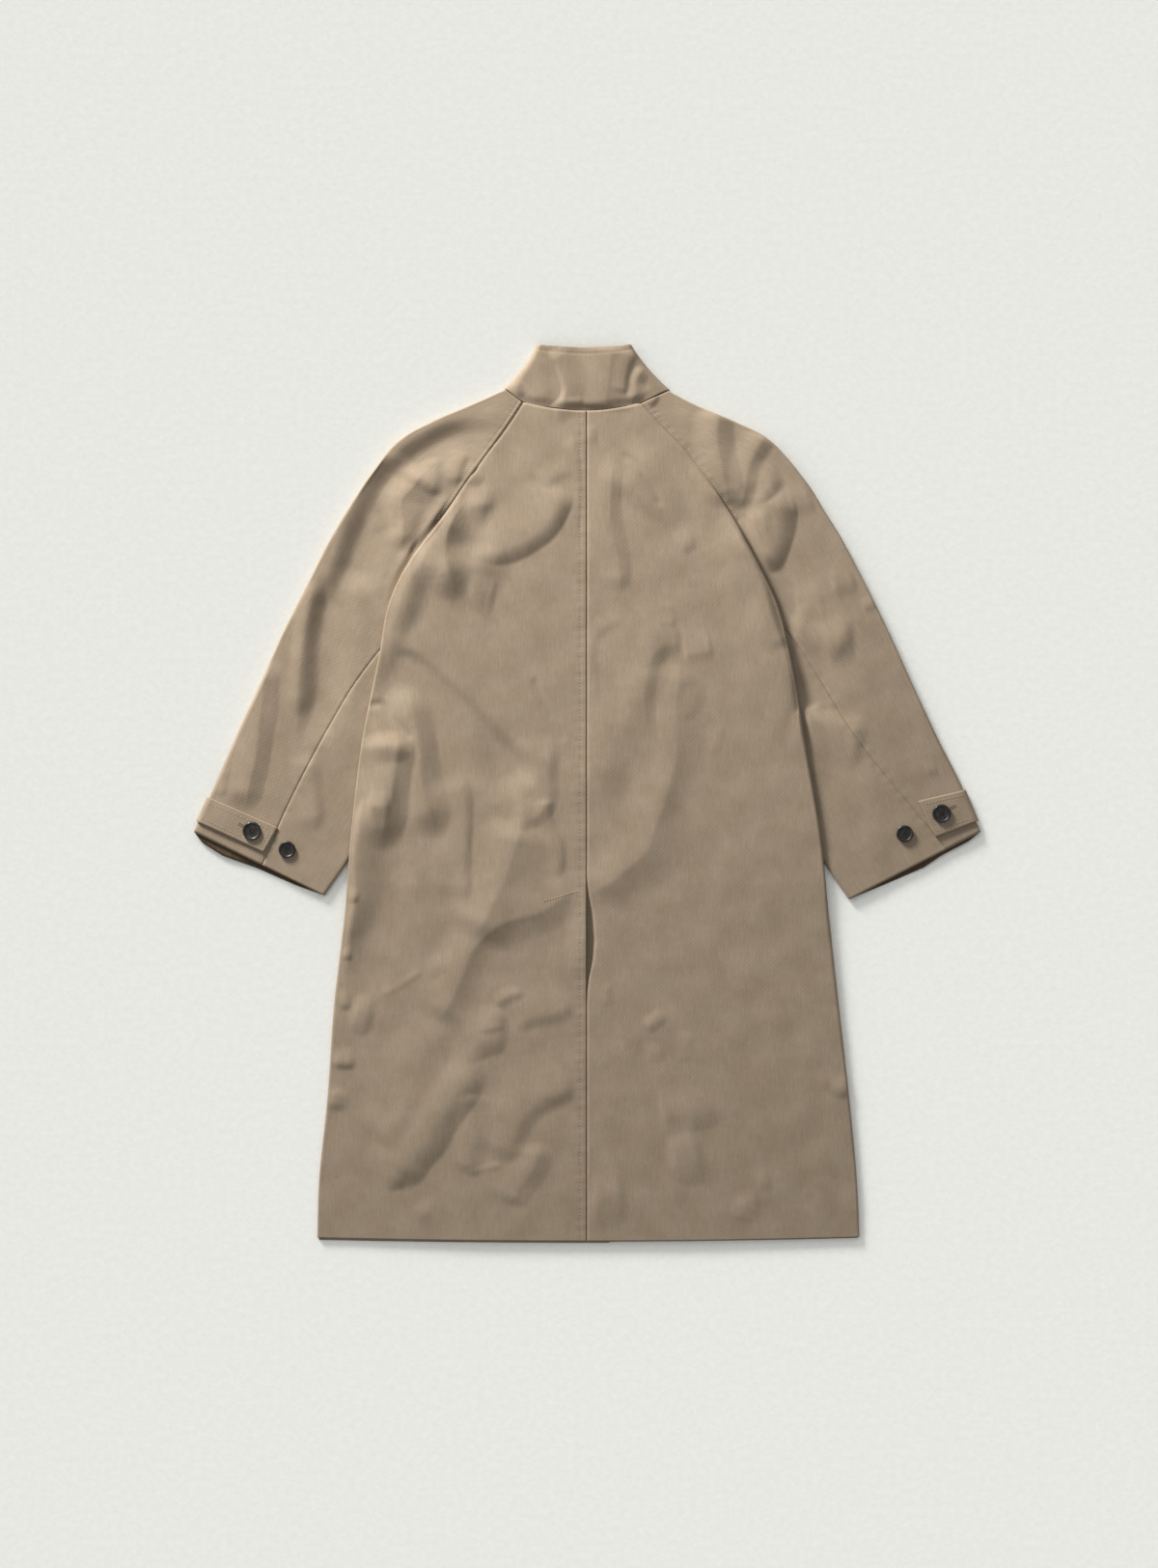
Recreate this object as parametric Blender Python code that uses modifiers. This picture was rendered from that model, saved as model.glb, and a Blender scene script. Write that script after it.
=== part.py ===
"""A balmacaan coat laid flat on its front, back up, with its collar turned up.

Each cut piece of the coat is one cloth wall: two backs with a lapped vent, two fronts with a
fly lap, a two-piece raglan sleeve on each side, a collar, two cuff straps and four buttons.

Sizes are in millimetres. A place on the coat is given as a maker measures it: "down" from the
back neck point and "out" from the centre-back seam. Left and right are the wearer's.
"""

import math

import bmesh
import bpy
import numpy as np
from mathutils import Matrix

MM = 0.001
LEFT = -1
RIGHT = 1
SIDE_NAMES = {LEFT: "left", RIGHT: "right"}

# The back neck point in the part's frame, whose origin is under the middle of the outline.
CENTRE_BACK_X = -1.5
NECK_POINT_Y = 495.9

# Cloth and the gaps between walls
CLOTH = 1.5
COLLAR_CLOTH = 2.2
STRAP_CLOTH = 2.4
SEAM_GAP = 0.7
LAYER_GAP = 0.4

# Colours of cloth and horn, linear, with their roughness
CLOTH_COLOUR = (0.337, 0.262, 0.188)
CLOTH_ROUGHNESS = 0.8
HORN_COLOUR = (0.022, 0.019, 0.017)
HORN_ROUGHNESS = 0.3

# Heights of the middle of each wall above the floor
FLOOR_WALL = CLOTH / 2
OVER_FRONT = CLOTH + LAYER_GAP + CLOTH / 2
TUCKED_SLEEVE = 5.8
OVER_SLEEVE = 7.9

# Side edges, where the back rolls down onto the sleeve and lower down onto the front
ROLL_ANGLE = 0.85 * math.pi
ROLL_OPEN_WIDTH = 6.0
FOLD_STARTS = 143.0
FOLD_FULL = 200.0
SLEEVE_LEAVES = 600.0
FRONT_REACHED = 660.0
FRONT_SET_BACK = 1.2

# The sleeve lies tucked between back and front. Past the side edge its upper wall rises and its
# lower wall sinks to the floor: how far out each starts and ends, and how far down it starts
UPPER_WALL_RISE = (9.0, 42.0)
LOWER_WALL_SINK = (16.0, 60.0)
UPPER_WALL_TUCKS = 70.0
LOWER_WALL_TUCKS = 96.0
TUCK_FULL = 145.0
TUCK_ENDS = 640.0

# Centre-back seam, where the left back laps over the right back, its vent, and the front lap
SEAM_LAP = 9.0
SEAM_STEP = 2.2
SEAM_SLOPE = 8.0
VENT_TOP = 617.0
VENT_LAP = 42.0
HEM = 1074.0
FRONT_LAP = 30.0
FRONT_LAP_TURN = 4.0
FRONT_LAP_RISE = 14.0

# Back panels. Columns: down at the centre, out at the side edge, down at the side edge
BACK_EDGE = {
    LEFT: np.array([
        (0, 82, -10), (22, 99, 16), (60, 128, 56), (98, 157, 96), (143, 188, 142),
        (172, 211, 171), (207, 235, 207), (249, 254, 249), (311, 266, 311), (434, 290, 434),
        (546, 303, 546), (647, 311, 647), (766, 325, 766), (891, 334, 891), (1000, 345, 1000),
        (1074, 347, 1070),
    ], float),
    RIGHT: np.array([
        (0, 71, -9), (22, 94, 16), (60, 130, 54), (98, 160, 94), (143, 191, 141),
        (172, 208, 172), (210, 228, 210), (249, 246, 249), (311, 262, 311), (438, 284, 438),
        (546, 302, 546), (647, 313, 647), (766, 326, 766), (891, 340, 891), (1000, 350, 1000),
        (1074, 353, 1069),
    ], float),
}

# Where the vent gapes. Columns: down, how far open, how much deeper the right back lies, how far
# the left back's edge lifts
VENT_GAPE = np.array([
    (600, 0, 0, 0), (640, 5, 1.4, 2.2), (686, 10, 2.2, 4.2), (735, 2, 1.0, 1.0), (765, 0, 0, 0),
], float)
VENT_LIP = 30.0
VENT_SLOPE = 3.5

# Front panels above the underarm. Columns: down at the centre, out and down at the raglan seam
FRONT_RAGLAN = {
    LEFT: np.array([(69, 74, 18), (90, 97, 44), (112, 124, 76), (133, 157, 109)], float),
    RIGHT: np.array([(69, 74, 18), (90, 98, 46), (112, 128, 78), (133, 162, 112)], float),
}
FRONT_HEM_DROP = {LEFT: 3.0, RIGHT: 1.5}

# Sleeves, a row for each section from neck to cuff. Columns: outer fold out and down, share of
# the width at which the back sleeve seam lies, height of the upper wall
SLEEVE = {
    LEFT: np.array([
        (104, -27, 1.00, 9.0), (144, -9, 1.00, 10.0), (202, 16, 1.00, 11.0),
        (244, 41, 1.00, 11.5), (275, 79, 1.00, 11.5), (300, 116, 1.00, 11.0),
        (330, 166, 0.80, 11.0), (362, 229, 0.60, 11.0), (393, 291, 0.53, 10.5),
        (422, 356, 0.495, 10.0), (452, 421, 0.487, 9.0), (478, 481, 0.490, 7.5),
        (507, 545, 0.525, 6.0),
    ], float),
    RIGHT: np.array([
        (106, -25, 1.00, 9.0), (143, -6, 1.00, 10.0), (195, 16, 1.00, 11.0),
        (240, 41, 1.00, 11.5), (284, 92, 1.00, 11.5), (307, 129, 1.00, 11.0),
        (330, 166, 0.74, 11.0), (361, 225, 0.56, 11.0), (393, 291, 0.505, 10.5),
        (422, 355, 0.475, 10.0), (453, 421, 0.410, 9.0), (483, 481, 0.340, 7.5),
        (510, 545, 0.256, 6.0),
    ], float),
}
UNDERARM_ROW = 4

# The sleeve's inner fold from the underarm row to the cuff. Columns: out, down
INNER_FOLD = {
    LEFT: np.array([
        (188, 142), (182, 191), (172, 254), (174, 329), (209, 398), (240, 460), (274, 522),
        (307, 579), (339, 627),
    ], float),
    RIGHT: np.array([
        (191, 141), (193, 200), (181, 266), (181, 335), (213, 401), (245, 462), (276, 524),
        (307, 581), (341, 632),
    ], float),
}
LAST_ROW = 12
SEAM_STARTS = 5.6
FRONT_SLEEVE_SEAM = 0.75
SLEEVE_ROLL = 4.0
OUTER_ROLL_SHARE = 0.25

# The inner fold is tight up to the rows over which it opens towards the cuff
INNER_ROLL = 1.6
INNER_ROLL_OPENS = (10, 11)
INNER_ROLL_SHARE = 0.3

# How far the cuff's lower wall reaches past the upper one. Columns: share of the width, reach
CUFF_REACH = {
    LEFT: np.array([(0, 0), (0.08, 8), (0.25, 12), (0.5, 7), (0.8, 5), (1, 0)], float),
    RIGHT: np.array([(0, 0), (0.1, 4), (0.3, 4), (0.45, 8), (0.7, 5), (1, 0)], float),
}
LAST_ROW_LENGTH = 70.0

# Height of the back wall. Columns: down, at the centre, near the side edge
BACK_HEIGHT = np.array([
    (-40, 9, 9), (60, 9, 9), (120, 9.5, 11), (185, 10, 13), (311, 10, 13.4), (546, 10, 13.2),
    (610, 9.5, 12.5), (680, 9, 10), (850, 8.2, 8.2), (1000, 7.6, 7), (1074, 7.0, 5.6),
], float)
EDGE_HEIGHT_STARTS = 0.35
CALM_STARTS = 1010.0
CALM_HEM = 0.6

# The collar, a row for each section. Columns: place round it, from the centre front's left end
# at -1 by the folds at -0.5 and 0.5 to the right end at 1, out and down at the neck seam,
# out and down at the upper edge
COLLAR = np.array([
    (-1.00, -2.5, 67, -4, -19), (-0.82, -58, 36, -32, -44), (-0.65, -85, -1, -50, -66),
    (-0.50, -104, -30.6, -63, -84), (-0.40, -84, -14.3, -50, -84), (-0.20, -44, -5.2, -26, -82.5),
    (0.00, 0, -0.5, 0, -81.5), (0.20, 40, -5, 25, -82.5), (0.38, 72, -12, 45, -83.5),
    (0.50, 106, -29, 58, -84), (0.65, 86, -1, 48, -66), (0.82, 58, 36, 32, -44),
    (1.00, 2.5, 67, 4, -19),
], float)
COLLAR_FOLD = 0.5
COLLAR_BOW = 4.0
COLLAR_BOW_REACH = 0.35
COLLAR_TURN = 0.05
COLLAR_BASE_HEIGHT = 8.6
COLLAR_TOP_HEIGHT = 14.5

# Cuff straps. Columns: share across the sleeve, sleeve row of the upper and of the lower edge
STRAP = {
    LEFT: np.array([(-0.15, 11.33, 11.80), (0, 11.31, 11.80), (0.49, 11.17, 11.745)], float),
    RIGHT: np.array([(-0.15, 11.18, 11.79), (0, 11.16, 11.79), (0.29, 10.91, 11.69)], float),
}

# The sleeve's lower wall is lifted onto the strap over these rows and shares of its width
STRAP_LIFT_ROWS = (10.2, 11)
STRAP_LIFT_SHARES = (0.25, 0.6)

# Buttons. Columns: side, share across the sleeve, sleeve row, diameter, on the strap or not
BUTTONS = (
    ("button_strap_left", LEFT, 0.354, 11.475, 24.0, True),
    ("button_cuff_left", LEFT, 0.620, 11.470, 22.0, False),
    ("button_strap_right", RIGHT, 0.190, 11.340, 24.0, True),
    ("button_cuff_right", RIGHT, 0.463, 11.340, 22.0, False),
)
BUTTON_THICK = 3.4
BUTTON_RIM = 2.6
BUTTON_DISH = 1.1
BUTTON_HOLE = 2.0
BUTTON_HOLE_PITCH = 4.6

# The largest folds. Columns: first end out and down, last end out and down (out is negative on
# the wearer's left), bow of the middle to the left of that line, half width on its left and
# right, and height, which is negative for a trough
FOLDS = np.array([
    (-203, 172, -243, 290, 0, 22, 28, 3.0),
    (-150, 116, -170, 250, -12, 22, 30, 3.4),
    (-28, 98, -130, 184, 18, 18, 32, 3.8),
    (-104, 218, -204, 214, 0, 34, 26, 2.8),
    (-236, 338, -200, 542, -4, 20, 32, 3.8),
    (-245, 424, -266, 562, 4, 20, 30, 4.6),
    (-244, 535, -288, 760, 0, 30, 26, -3.6),
    (-76, 526, -148, 690, 0, 40, 30, 4.4),
    (-6, 618, -136, 684, -8, 18, 26, 3.2),
    (-125, 676, -188, 797, 0, 18, 26, 3.2),
    (-126, 850, -250, 1004, 0, 20, 30, 5.0),
    (-14, 868, -108, 974, -12, 20, 28, 2.8),
    (-176, 816, -272, 950, -6, 26, 28, 2.4),
    (33, 64, 40, 238, 0, 18, 26, 2.6),
    (80, 255, 10, 520, 8, 30, 30, 3.0),
    (122, 325, 6, 624, 36, 30, 30, 3.8),
    (188, 150, 258, 340, 12, 14, 30, 2.4),
    (-345, 210, -384, 430, 6, 22, 28, 3.6),
    (-411, 320, -434, 520, 0, 18, 26, 3.0),
    (174, 14, 178, 108, 0, 20, 24, 3.2),
    (249, 120, 228, 198, 6, 18, 30, 4.0),
], float)


def smooth_step(low, high, value):
    share = np.clip((value - low) / (high - low), 0, 1)
    return share * share * (3 - 2 * share)


def mix(first, last, share):
    return first + (last - first) * share


def through(places, values, at):
    """A smooth curve through a table's rows."""
    slopes = np.gradient(values, places)
    row = np.clip(np.searchsorted(places, at) - 1, 0, len(places) - 2)
    span = places[row + 1] - places[row]
    t = (at - places[row]) / span
    t2 = t * t
    t3 = t2 * t
    inside = (
        (2 * t3 - 3 * t2 + 1) * values[row]
        + (t3 - 2 * t2 + t) * span * slopes[row]
        + (3 * t2 - 2 * t3) * values[row + 1]
        + (t3 - t2) * span * slopes[row + 1]
    )
    past = values[row + 1] + (t - 1) * span * slopes[row + 1]
    return np.where(t > 1, past, inside)


def fold_height(x, down):
    """What the folds add to the upper walls at a place, out being signed."""
    total = np.zeros_like(x)
    for x0, d0, x1, d1, bow, left, right, height in FOLDS:
        run = np.array([x1 - x0, d1 - d0])
        length = math.hypot(*run)
        run = run / length
        along = np.clip(((x - x0) * run[0] + (down - d0) * run[1]) / length, 0, 1)
        aside = (x - x0) * run[1] - (down - d0) * run[0] - bow * 4 * along * (1 - along)
        width = np.where(aside < 0, right, left)
        ends = smooth_step(0, 0.35, along) * smooth_step(0, 0.35, 1 - along)
        total += height * ends * np.exp(-((aside / width) ** 2))
    return total


def side_edge(side, down):
    """How far out the body's side edge lies at a height on the coat."""
    table = BACK_EDGE[side]
    return np.interp(down, table[:, 2], table[:, 1])


def back_height(side, out, down):
    """The middle of the back wall above the floor."""
    share = smooth_step(EDGE_HEIGHT_STARTS, 1, out / side_edge(side, down))
    centre = np.interp(down, BACK_HEIGHT[:, 0], BACK_HEIGHT[:, 1])
    edge = np.interp(down, BACK_HEIGHT[:, 0], BACK_HEIGHT[:, 2])
    calm = 1 - CALM_HEM * smooth_step(CALM_STARTS, HEM, down)
    return mix(centre, edge, share) + fold_height(side * out, down) * calm


def in_frame(side, out, down, height):
    """Points of the part's frame, in metres."""
    x = CENTRE_BACK_X + side * out
    return np.stack([x, NECK_POINT_Y - down, height], axis=-1) * MM


def back_place(side, across, down_centre):
    """The back wall: across runs from the centre (0) to the edge (1) and on round the turned
    edge (2). On the right, across below 0 is what the left back and the vent lap over."""
    table = BACK_EDGE[side]
    edge_out = through(table[:, 0], table[:, 1], down_centre)
    edge_down = through(table[:, 0], table[:, 2], down_centre)
    turned = smooth_step(FOLD_STARTS, FOLD_FULL, down_centre)
    on_sleeve = 1 - smooth_step(SLEEVE_LEAVES, FRONT_REACHED, down_centre)
    edge_height = back_height(side, edge_out, edge_down)
    drop = edge_height - mix(OVER_FRONT, OVER_SLEEVE, on_sleeve)
    angle = np.maximum(ROLL_ANGLE * turned, 0.01)
    rolled = drop * ROLL_ANGLE / (1 - math.cos(ROLL_ANGLE))
    rolled = mix(ROLL_OPEN_WIDTH, rolled, turned)
    radius = rolled / angle
    start = edge_out - radius * np.sin(np.minimum(angle, math.pi / 2))
    start = start - SEAM_GAP / 2 * (1 - turned)
    flat = np.clip(across, 0, 1)
    out = mix(SEAM_GAP / 2, start, flat)
    down = mix(down_centre, edge_down, flat**2)
    on_roll = angle * np.clip(across - 1, 0, 1)
    out = np.where(across > 1, start + radius * np.sin(on_roll), out)
    height = back_height(side, np.minimum(out, start), down)
    height = height - radius * (1 - np.cos(on_roll))
    if side == LEFT:
        lifted = np.interp(down_centre, VENT_GAPE[:, 0], VENT_GAPE[:, 3])
        height = height + lifted * (1 - smooth_step(0, VENT_LIP, out))
    if side == RIGHT:
        lap = np.where(down_centre < VENT_TOP - 1, SEAM_LAP, VENT_LAP)
        out = np.where(across < 0, lap * across, out)
        open_by = np.interp(down_centre, VENT_GAPE[:, 0], VENT_GAPE[:, 1])
        deeper = np.interp(down_centre, VENT_GAPE[:, 0], VENT_GAPE[:, 2])
        foot = mix(0, open_by, smooth_step(0, 2, open_by))
        slope = mix(SEAM_SLOPE, VENT_SLOPE, smooth_step(0, 6, open_by))
        height = height - (SEAM_STEP + deeper) * (1 - smooth_step(foot, foot + slope, out))
    return in_frame(side, out, down, height)


def front_place(side, across, down_centre):
    """The front wall, on the floor: across runs from the lapped edge (0) over the lap (1) and
    down beside it (2) to the side (3)."""
    edge_out, edge_down = front_edge(side, down_centre)
    set_back = smooth_step(FOLD_STARTS, FOLD_FULL, down_centre)
    edge_out = edge_out - mix(SEAM_GAP, FRONT_SET_BACK, set_back)
    drop = FRONT_HEM_DROP[side] * smooth_step(1000, HEM, down_centre)
    beside = FRONT_LAP + FRONT_LAP_TURN
    out = mix(-FRONT_LAP, beside, np.clip(across, 0, 1))
    out = np.where(across > 1, mix(beside, beside + FRONT_LAP_RISE, across - 1), out)
    out = np.where(across > 2, mix(beside + FRONT_LAP_RISE, edge_out, across - 2), out)
    down = mix(down_centre, edge_down, np.clip(out / edge_out, 0, 1) ** 2) + drop
    height = np.full_like(out, FLOOR_WALL)
    if side == RIGHT:
        over = 1 - smooth_step(1, 2, across)
        height = mix(FLOOR_WALL, OVER_FRONT, over)
    return in_frame(side, out, down, height)


def front_edge(side, down_centre):
    """The front's raglan seam and side, out and down."""
    table = BACK_EDGE[side]
    rows = np.concatenate([FRONT_RAGLAN[side], table[table[:, 0] >= FOLD_STARTS]])
    return (through(rows[:, 0], rows[:, column], down_centre) for column in (1, 2))


def sleeve_columns(side, row, upper):
    """Outer point and inner point of a sleeve section, on its upper or lower wall."""
    rows = np.arange(LAST_ROW + 1, dtype=float)
    outer_out, outer_down = (through(rows, SLEEVE[side][:, column], row) for column in (0, 1))
    table = BACK_EDGE[side]
    seam_rows = np.arange(UNDERARM_ROW + 1)
    seam = np.clip(row, 0, UNDERARM_ROW)
    back_at = np.interp(seam, seam_rows, table[: UNDERARM_ROW + 1, 0])
    front_at = np.interp(seam, seam_rows, [*FRONT_RAGLAN[side][:, 0], FOLD_STARTS])
    back_out, back_down = (through(table[:, 0], table[:, column], back_at) for column in (1, 2))
    front_out, front_down = front_edge(side, front_at)
    folded = np.maximum(row, UNDERARM_ROW)
    fold_out, fold_down = (
        through(rows[UNDERARM_ROW:], INNER_FOLD[side][:, column], folded) for column in (0, 1)
    )
    inner_out = np.where(row > UNDERARM_ROW, fold_out, np.where(upper, back_out, front_out))
    inner_down = np.where(row > UNDERARM_ROW, fold_down, np.where(upper, back_down, front_down))
    return outer_out, outer_down, inner_out, inner_down


def sleeve_place(side, row, share, lift):
    """The sleeve's wall. share runs from the outer fold (0) to the raglan seam or inner fold
    (1), and lift is 1 on the upper wall, -1 on the lower wall and 0 on a fold."""
    rows = np.arange(LAST_ROW + 1, dtype=float)
    outer_out, outer_down, inner_out, inner_down = sleeve_columns(side, row, lift > 0)
    butted = 1 - smooth_step(4, 4.6, row)
    inner_out = inner_out + SEAM_GAP / 2 * butted
    out = mix(outer_out, inner_out, share)
    down = mix(outer_down, inner_down, share)
    own = through(rows, SLEEVE[side][:, 3], row)
    own = own + fold_height(side * out, down) * smooth_step(0, 0.2, share)
    joined = smooth_step(0.4, 1, share) * (1 - smooth_step(3.2, 4, row))
    top = mix(own, back_height(side, out, down), joined)
    past_edge = out - side_edge(side, down)
    beside_body = 1 - smooth_step(SLEEVE_LEAVES, TUCK_ENDS, down)
    covered = 1 - smooth_step(*UPPER_WALL_RISE, past_edge)
    covered = covered * smooth_step(UPPER_WALL_TUCKS, TUCK_FULL, down) * beside_body
    top = mix(top, TUCKED_SLEEVE, covered)
    on_front = 1 - smooth_step(*LOWER_WALL_SINK, past_edge)
    on_front = on_front * smooth_step(LOWER_WALL_TUCKS, TUCK_FULL, down) * beside_body
    on_strap = smooth_step(*STRAP_LIFT_ROWS, row) * (1 - smooth_step(*STRAP_LIFT_SHARES, share))
    bottom = FLOOR_WALL + (OVER_FRONT - FLOOR_WALL) * on_front
    bottom = bottom + (STRAP_CLOTH + LAYER_GAP) * on_strap
    height = (top + bottom) / 2 + (top - bottom) / 2 * lift
    return out, down, height


def sleeve_width(side, row, upper):
    outer_out, outer_down, inner_out, inner_down = sleeve_columns(side, row, upper)
    return np.hypot(inner_out - outer_out, inner_down - outer_down)


def cuff_row(side, row, share, lift):
    """Runs the lower wall's last rows on past the upper wall's cuff edge."""
    reach = np.interp(share, CUFF_REACH[side][:, 0], CUFF_REACH[side][:, 1])
    further = reach / LAST_ROW_LENGTH * smooth_step(LAST_ROW - 2, LAST_ROW, row)
    return row + further * np.clip(-lift, 0, 1)


def back_sleeve_seam(side, row):
    """The share of the sleeve's width at which its back seam lies."""
    rows = np.arange(LAST_ROW + 1, dtype=float)
    return np.clip(through(rows, SLEEVE[side][:, 2], row), 0, 1)


def upper_sleeve_place(side, round_it, row):
    """The upper sleeve: round_it runs from the front sleeve seam (-1) by the outer fold (0) to
    the raglan seam or the back sleeve seam (1)."""
    seam = back_sleeve_seam(side, row)
    underarm = smooth_step(SEAM_STARTS - 0.6, SEAM_STARTS + 0.4, row)
    front_seam = mix(1.0, FRONT_SLEEVE_SEAM, underarm)
    side_share = np.abs(round_it)
    width = sleeve_width(side, row, round_it > 0)
    roll = SLEEVE_ROLL / width
    angle = np.clip(side_share / OUTER_ROLL_SHARE, 0, 1) * math.pi / 2
    flat = np.clip((side_share - OUTER_ROLL_SHARE) / (1 - OUTER_ROLL_SHARE), 0, 1)
    end = np.where(round_it > 0, seam, front_seam) - SEAM_GAP / 2 / width * underarm
    share = mix(roll, end, flat)
    share = np.where(side_share < OUTER_ROLL_SHARE, roll * (1 - np.cos(angle)), share)
    lift = np.sign(round_it) * np.sin(angle)
    row = cuff_row(side, row, share, lift)
    return in_frame(side, *sleeve_place(side, row, share, lift))


def under_sleeve_place(side, round_it, row):
    """The under sleeve: round_it runs from the front sleeve seam (-1) by the inner fold (0) to
    the back sleeve seam (1)."""
    seam = back_sleeve_seam(side, row)
    side_share = np.abs(round_it)
    width = sleeve_width(side, row, round_it > 0)
    reach = mix(INNER_ROLL, SLEEVE_ROLL, smooth_step(*INNER_ROLL_OPENS, row))
    roll = reach / width
    angle = np.clip(side_share / INNER_ROLL_SHARE, 0, 1) * math.pi / 2
    flat = np.clip((side_share - INNER_ROLL_SHARE) / (1 - INNER_ROLL_SHARE), 0, 1)
    end = np.where(round_it > 0, seam, FRONT_SLEEVE_SEAM) + SEAM_GAP / 2 / width
    share = mix(1 - roll, end, flat)
    share = np.where(side_share < INNER_ROLL_SHARE, 1 - roll * (1 - np.cos(angle)), share)
    lift = np.sign(round_it) * np.sin(angle)
    row = cuff_row(side, row, share, lift)
    return in_frame(side, *sleeve_place(side, row, share, lift))


def collar_place(round_it, up):
    """The collar: round_it as in its table, up from the neck seam (0) to the upper edge (1)."""
    base_out, base_down, top_out, top_down = (
        through(COLLAR[:, 0], COLLAR[:, column], round_it) for column in range(1, 5)
    )
    x = mix(base_out, top_out, up)
    down = mix(base_down, top_down, up)
    beyond = np.clip(1 - np.abs(np.abs(round_it) - COLLAR_FOLD) / COLLAR_BOW_REACH, 0, 1)
    x = x - np.sign(round_it) * COLLAR_BOW * 4 * up * (1 - up) * beyond
    lift = np.sin(np.clip((COLLAR_FOLD - np.abs(round_it)) / COLLAR_TURN, -1, 1) * math.pi / 2)
    top = mix(COLLAR_BASE_HEIGHT, COLLAR_TOP_HEIGHT, up) + fold_height(x, down)
    bottom = COLLAR_CLOTH / 2
    height = (top + bottom) / 2 + (top - bottom) / 2 * lift
    return in_frame(1, x, down, height)


def strap_place(side, across, between):
    """A cuff strap, on the sleeve's upper wall and round its outer fold."""
    table = STRAP[side]
    share = mix(table[0, 0], table[-1, 0], across)
    upper = np.interp(share, table[:, 0], table[:, 1])
    lower = np.interp(share, table[:, 0], table[:, 2])
    row = mix(upper, lower, between)
    return on_sleeve(side, row, share, CLOTH / 2 + LAYER_GAP + STRAP_CLOTH / 2)


def on_sleeve(side, row, share, away):
    """A point of the sleeve's upper wall, moved out along the wall's normal."""

    def at(row, share):
        width = sleeve_width(side, row, share > 0)
        distance = np.abs(share) * width
        angle = np.arccos(np.clip(1 - distance / SLEEVE_ROLL, 0, 1))
        lift = np.sign(share) * np.sin(angle)
        return in_frame(side, *sleeve_place(side, row, np.abs(share), lift))

    step = 0.01
    along = at(row + step, share) - at(row - step, share)
    across = at(row, share + step) - at(row, share - step)
    normal = np.cross(across, along) * side
    normal = normal / np.linalg.norm(normal, axis=-1, keepdims=True)
    return at(row, share) + normal * away * MM


def material(name, colour, roughness):
    made = bpy.data.materials.new(name)
    made.use_nodes = True
    shader = made.node_tree.nodes["Principled BSDF"]
    shader.inputs["Base Color"].default_value = (*colour, 1)
    shader.inputs["Roughness"].default_value = roughness
    shader.inputs["Metallic"].default_value = 0
    return made


def cloth_wall(name, columns, rows, place, thickness):
    """An open grid moved onto a surface, with its wall made by Solidify. columns and rows are
    the surface's own coordinates of the grid's lines."""
    columns = np.asarray(columns, float)
    rows = np.asarray(rows, float)
    grid = bmesh.new()
    bmesh.ops.create_grid(grid, x_segments=len(columns) - 1, y_segments=len(rows) - 1, size=1)
    lines = [
        (round((v.co.x + 1) / 2 * (len(columns) - 1)), round((v.co.y + 1) / 2 * (len(rows) - 1)))
        for v in grid.verts
    ]
    column = columns[[i for i, _ in lines]]
    row = rows[[j for _, j in lines]]
    for vertex, point in zip(grid.verts, place(column, row)):
        vertex.co = point
    mesh = bpy.data.meshes.new(name)
    grid.to_mesh(mesh)
    grid.free()
    mesh.shade_smooth()
    mesh.materials.append(material(name, CLOTH_COLOUR, CLOTH_ROUGHNESS))
    made = bpy.data.objects.new(name, mesh)
    coat.objects.link(made)
    wall = made.modifiers.new("wall", "SOLIDIFY")
    wall.thickness = thickness * MM
    wall.offset = 0
    wall.use_even_offset = True
    wall.use_quality_normals = True
    return made


def make_backs():
    flat = [0.045, 0.09, 0.18, 0.27, 0.36, 0.45, 0.54, 0.63, 0.72, 0.8, 0.88, 0.94]
    turned = [1, 1.25, 1.5, 1.75, 2]
    rows = np.concatenate([
        BACK_EDGE[LEFT][:4, 0], np.linspace(FOLD_STARTS, VENT_TOP - 4, 16),
        [VENT_TOP], np.linspace(VENT_TOP, HEM, 13)[1:],
    ])
    for side in (LEFT, RIGHT):
        centre = [-1, 0, 0.012, 0.028] if side == RIGHT else [0]
        cloth_wall(
            "back_" + SIDE_NAMES[side], centre + flat + turned, rows,
            lambda across, down, side=side: back_place(side, across, down), CLOTH,
        )


def make_fronts():
    rows = np.concatenate([
        np.linspace(FRONT_RAGLAN[LEFT][0, 0], FOLD_STARTS, 5), np.linspace(FOLD_STARTS, HEM, 12)[1:],
    ])
    for side in (LEFT, RIGHT):
        cloth_wall(
            "front_" + SIDE_NAMES[side], [0, 0.47, 0.75, 1, 1.5, 2, 2.3, 2.6, 2.8, 2.93, 3], rows,
            lambda across, down, side=side: front_place(side, across, down), CLOTH,
        )


def make_sleeves():
    upper_round = [
        -1, -0.8, -0.6, -0.42, -0.25, -0.17, -0.09, 0, 0.09, 0.17, 0.25,
        0.33, 0.42, 0.52, 0.62, 0.72, 0.82, 0.91, 1,
    ]
    under_round = [-1, -0.65, -0.3, -0.2, -0.1, 0, 0.1, 0.2, 0.3, 0.4, 0.5, 0.6, 0.73, 0.86, 1]
    rows = np.concatenate([
        np.linspace(0, 2, 5), np.linspace(2, 7, 16)[1:], np.linspace(7, LAST_ROW, 11)[1:],
    ])
    for side in (LEFT, RIGHT):
        cloth_wall(
            "sleeve_upper_" + SIDE_NAMES[side], upper_round, rows,
            lambda round_it, row, side=side: upper_sleeve_place(side, round_it, row), CLOTH,
        )
        cloth_wall(
            "sleeve_under_" + SIDE_NAMES[side], under_round, np.linspace(6, LAST_ROW, 14),
            lambda round_it, row, side=side: under_sleeve_place(side, round_it, row), CLOTH,
        )


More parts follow.
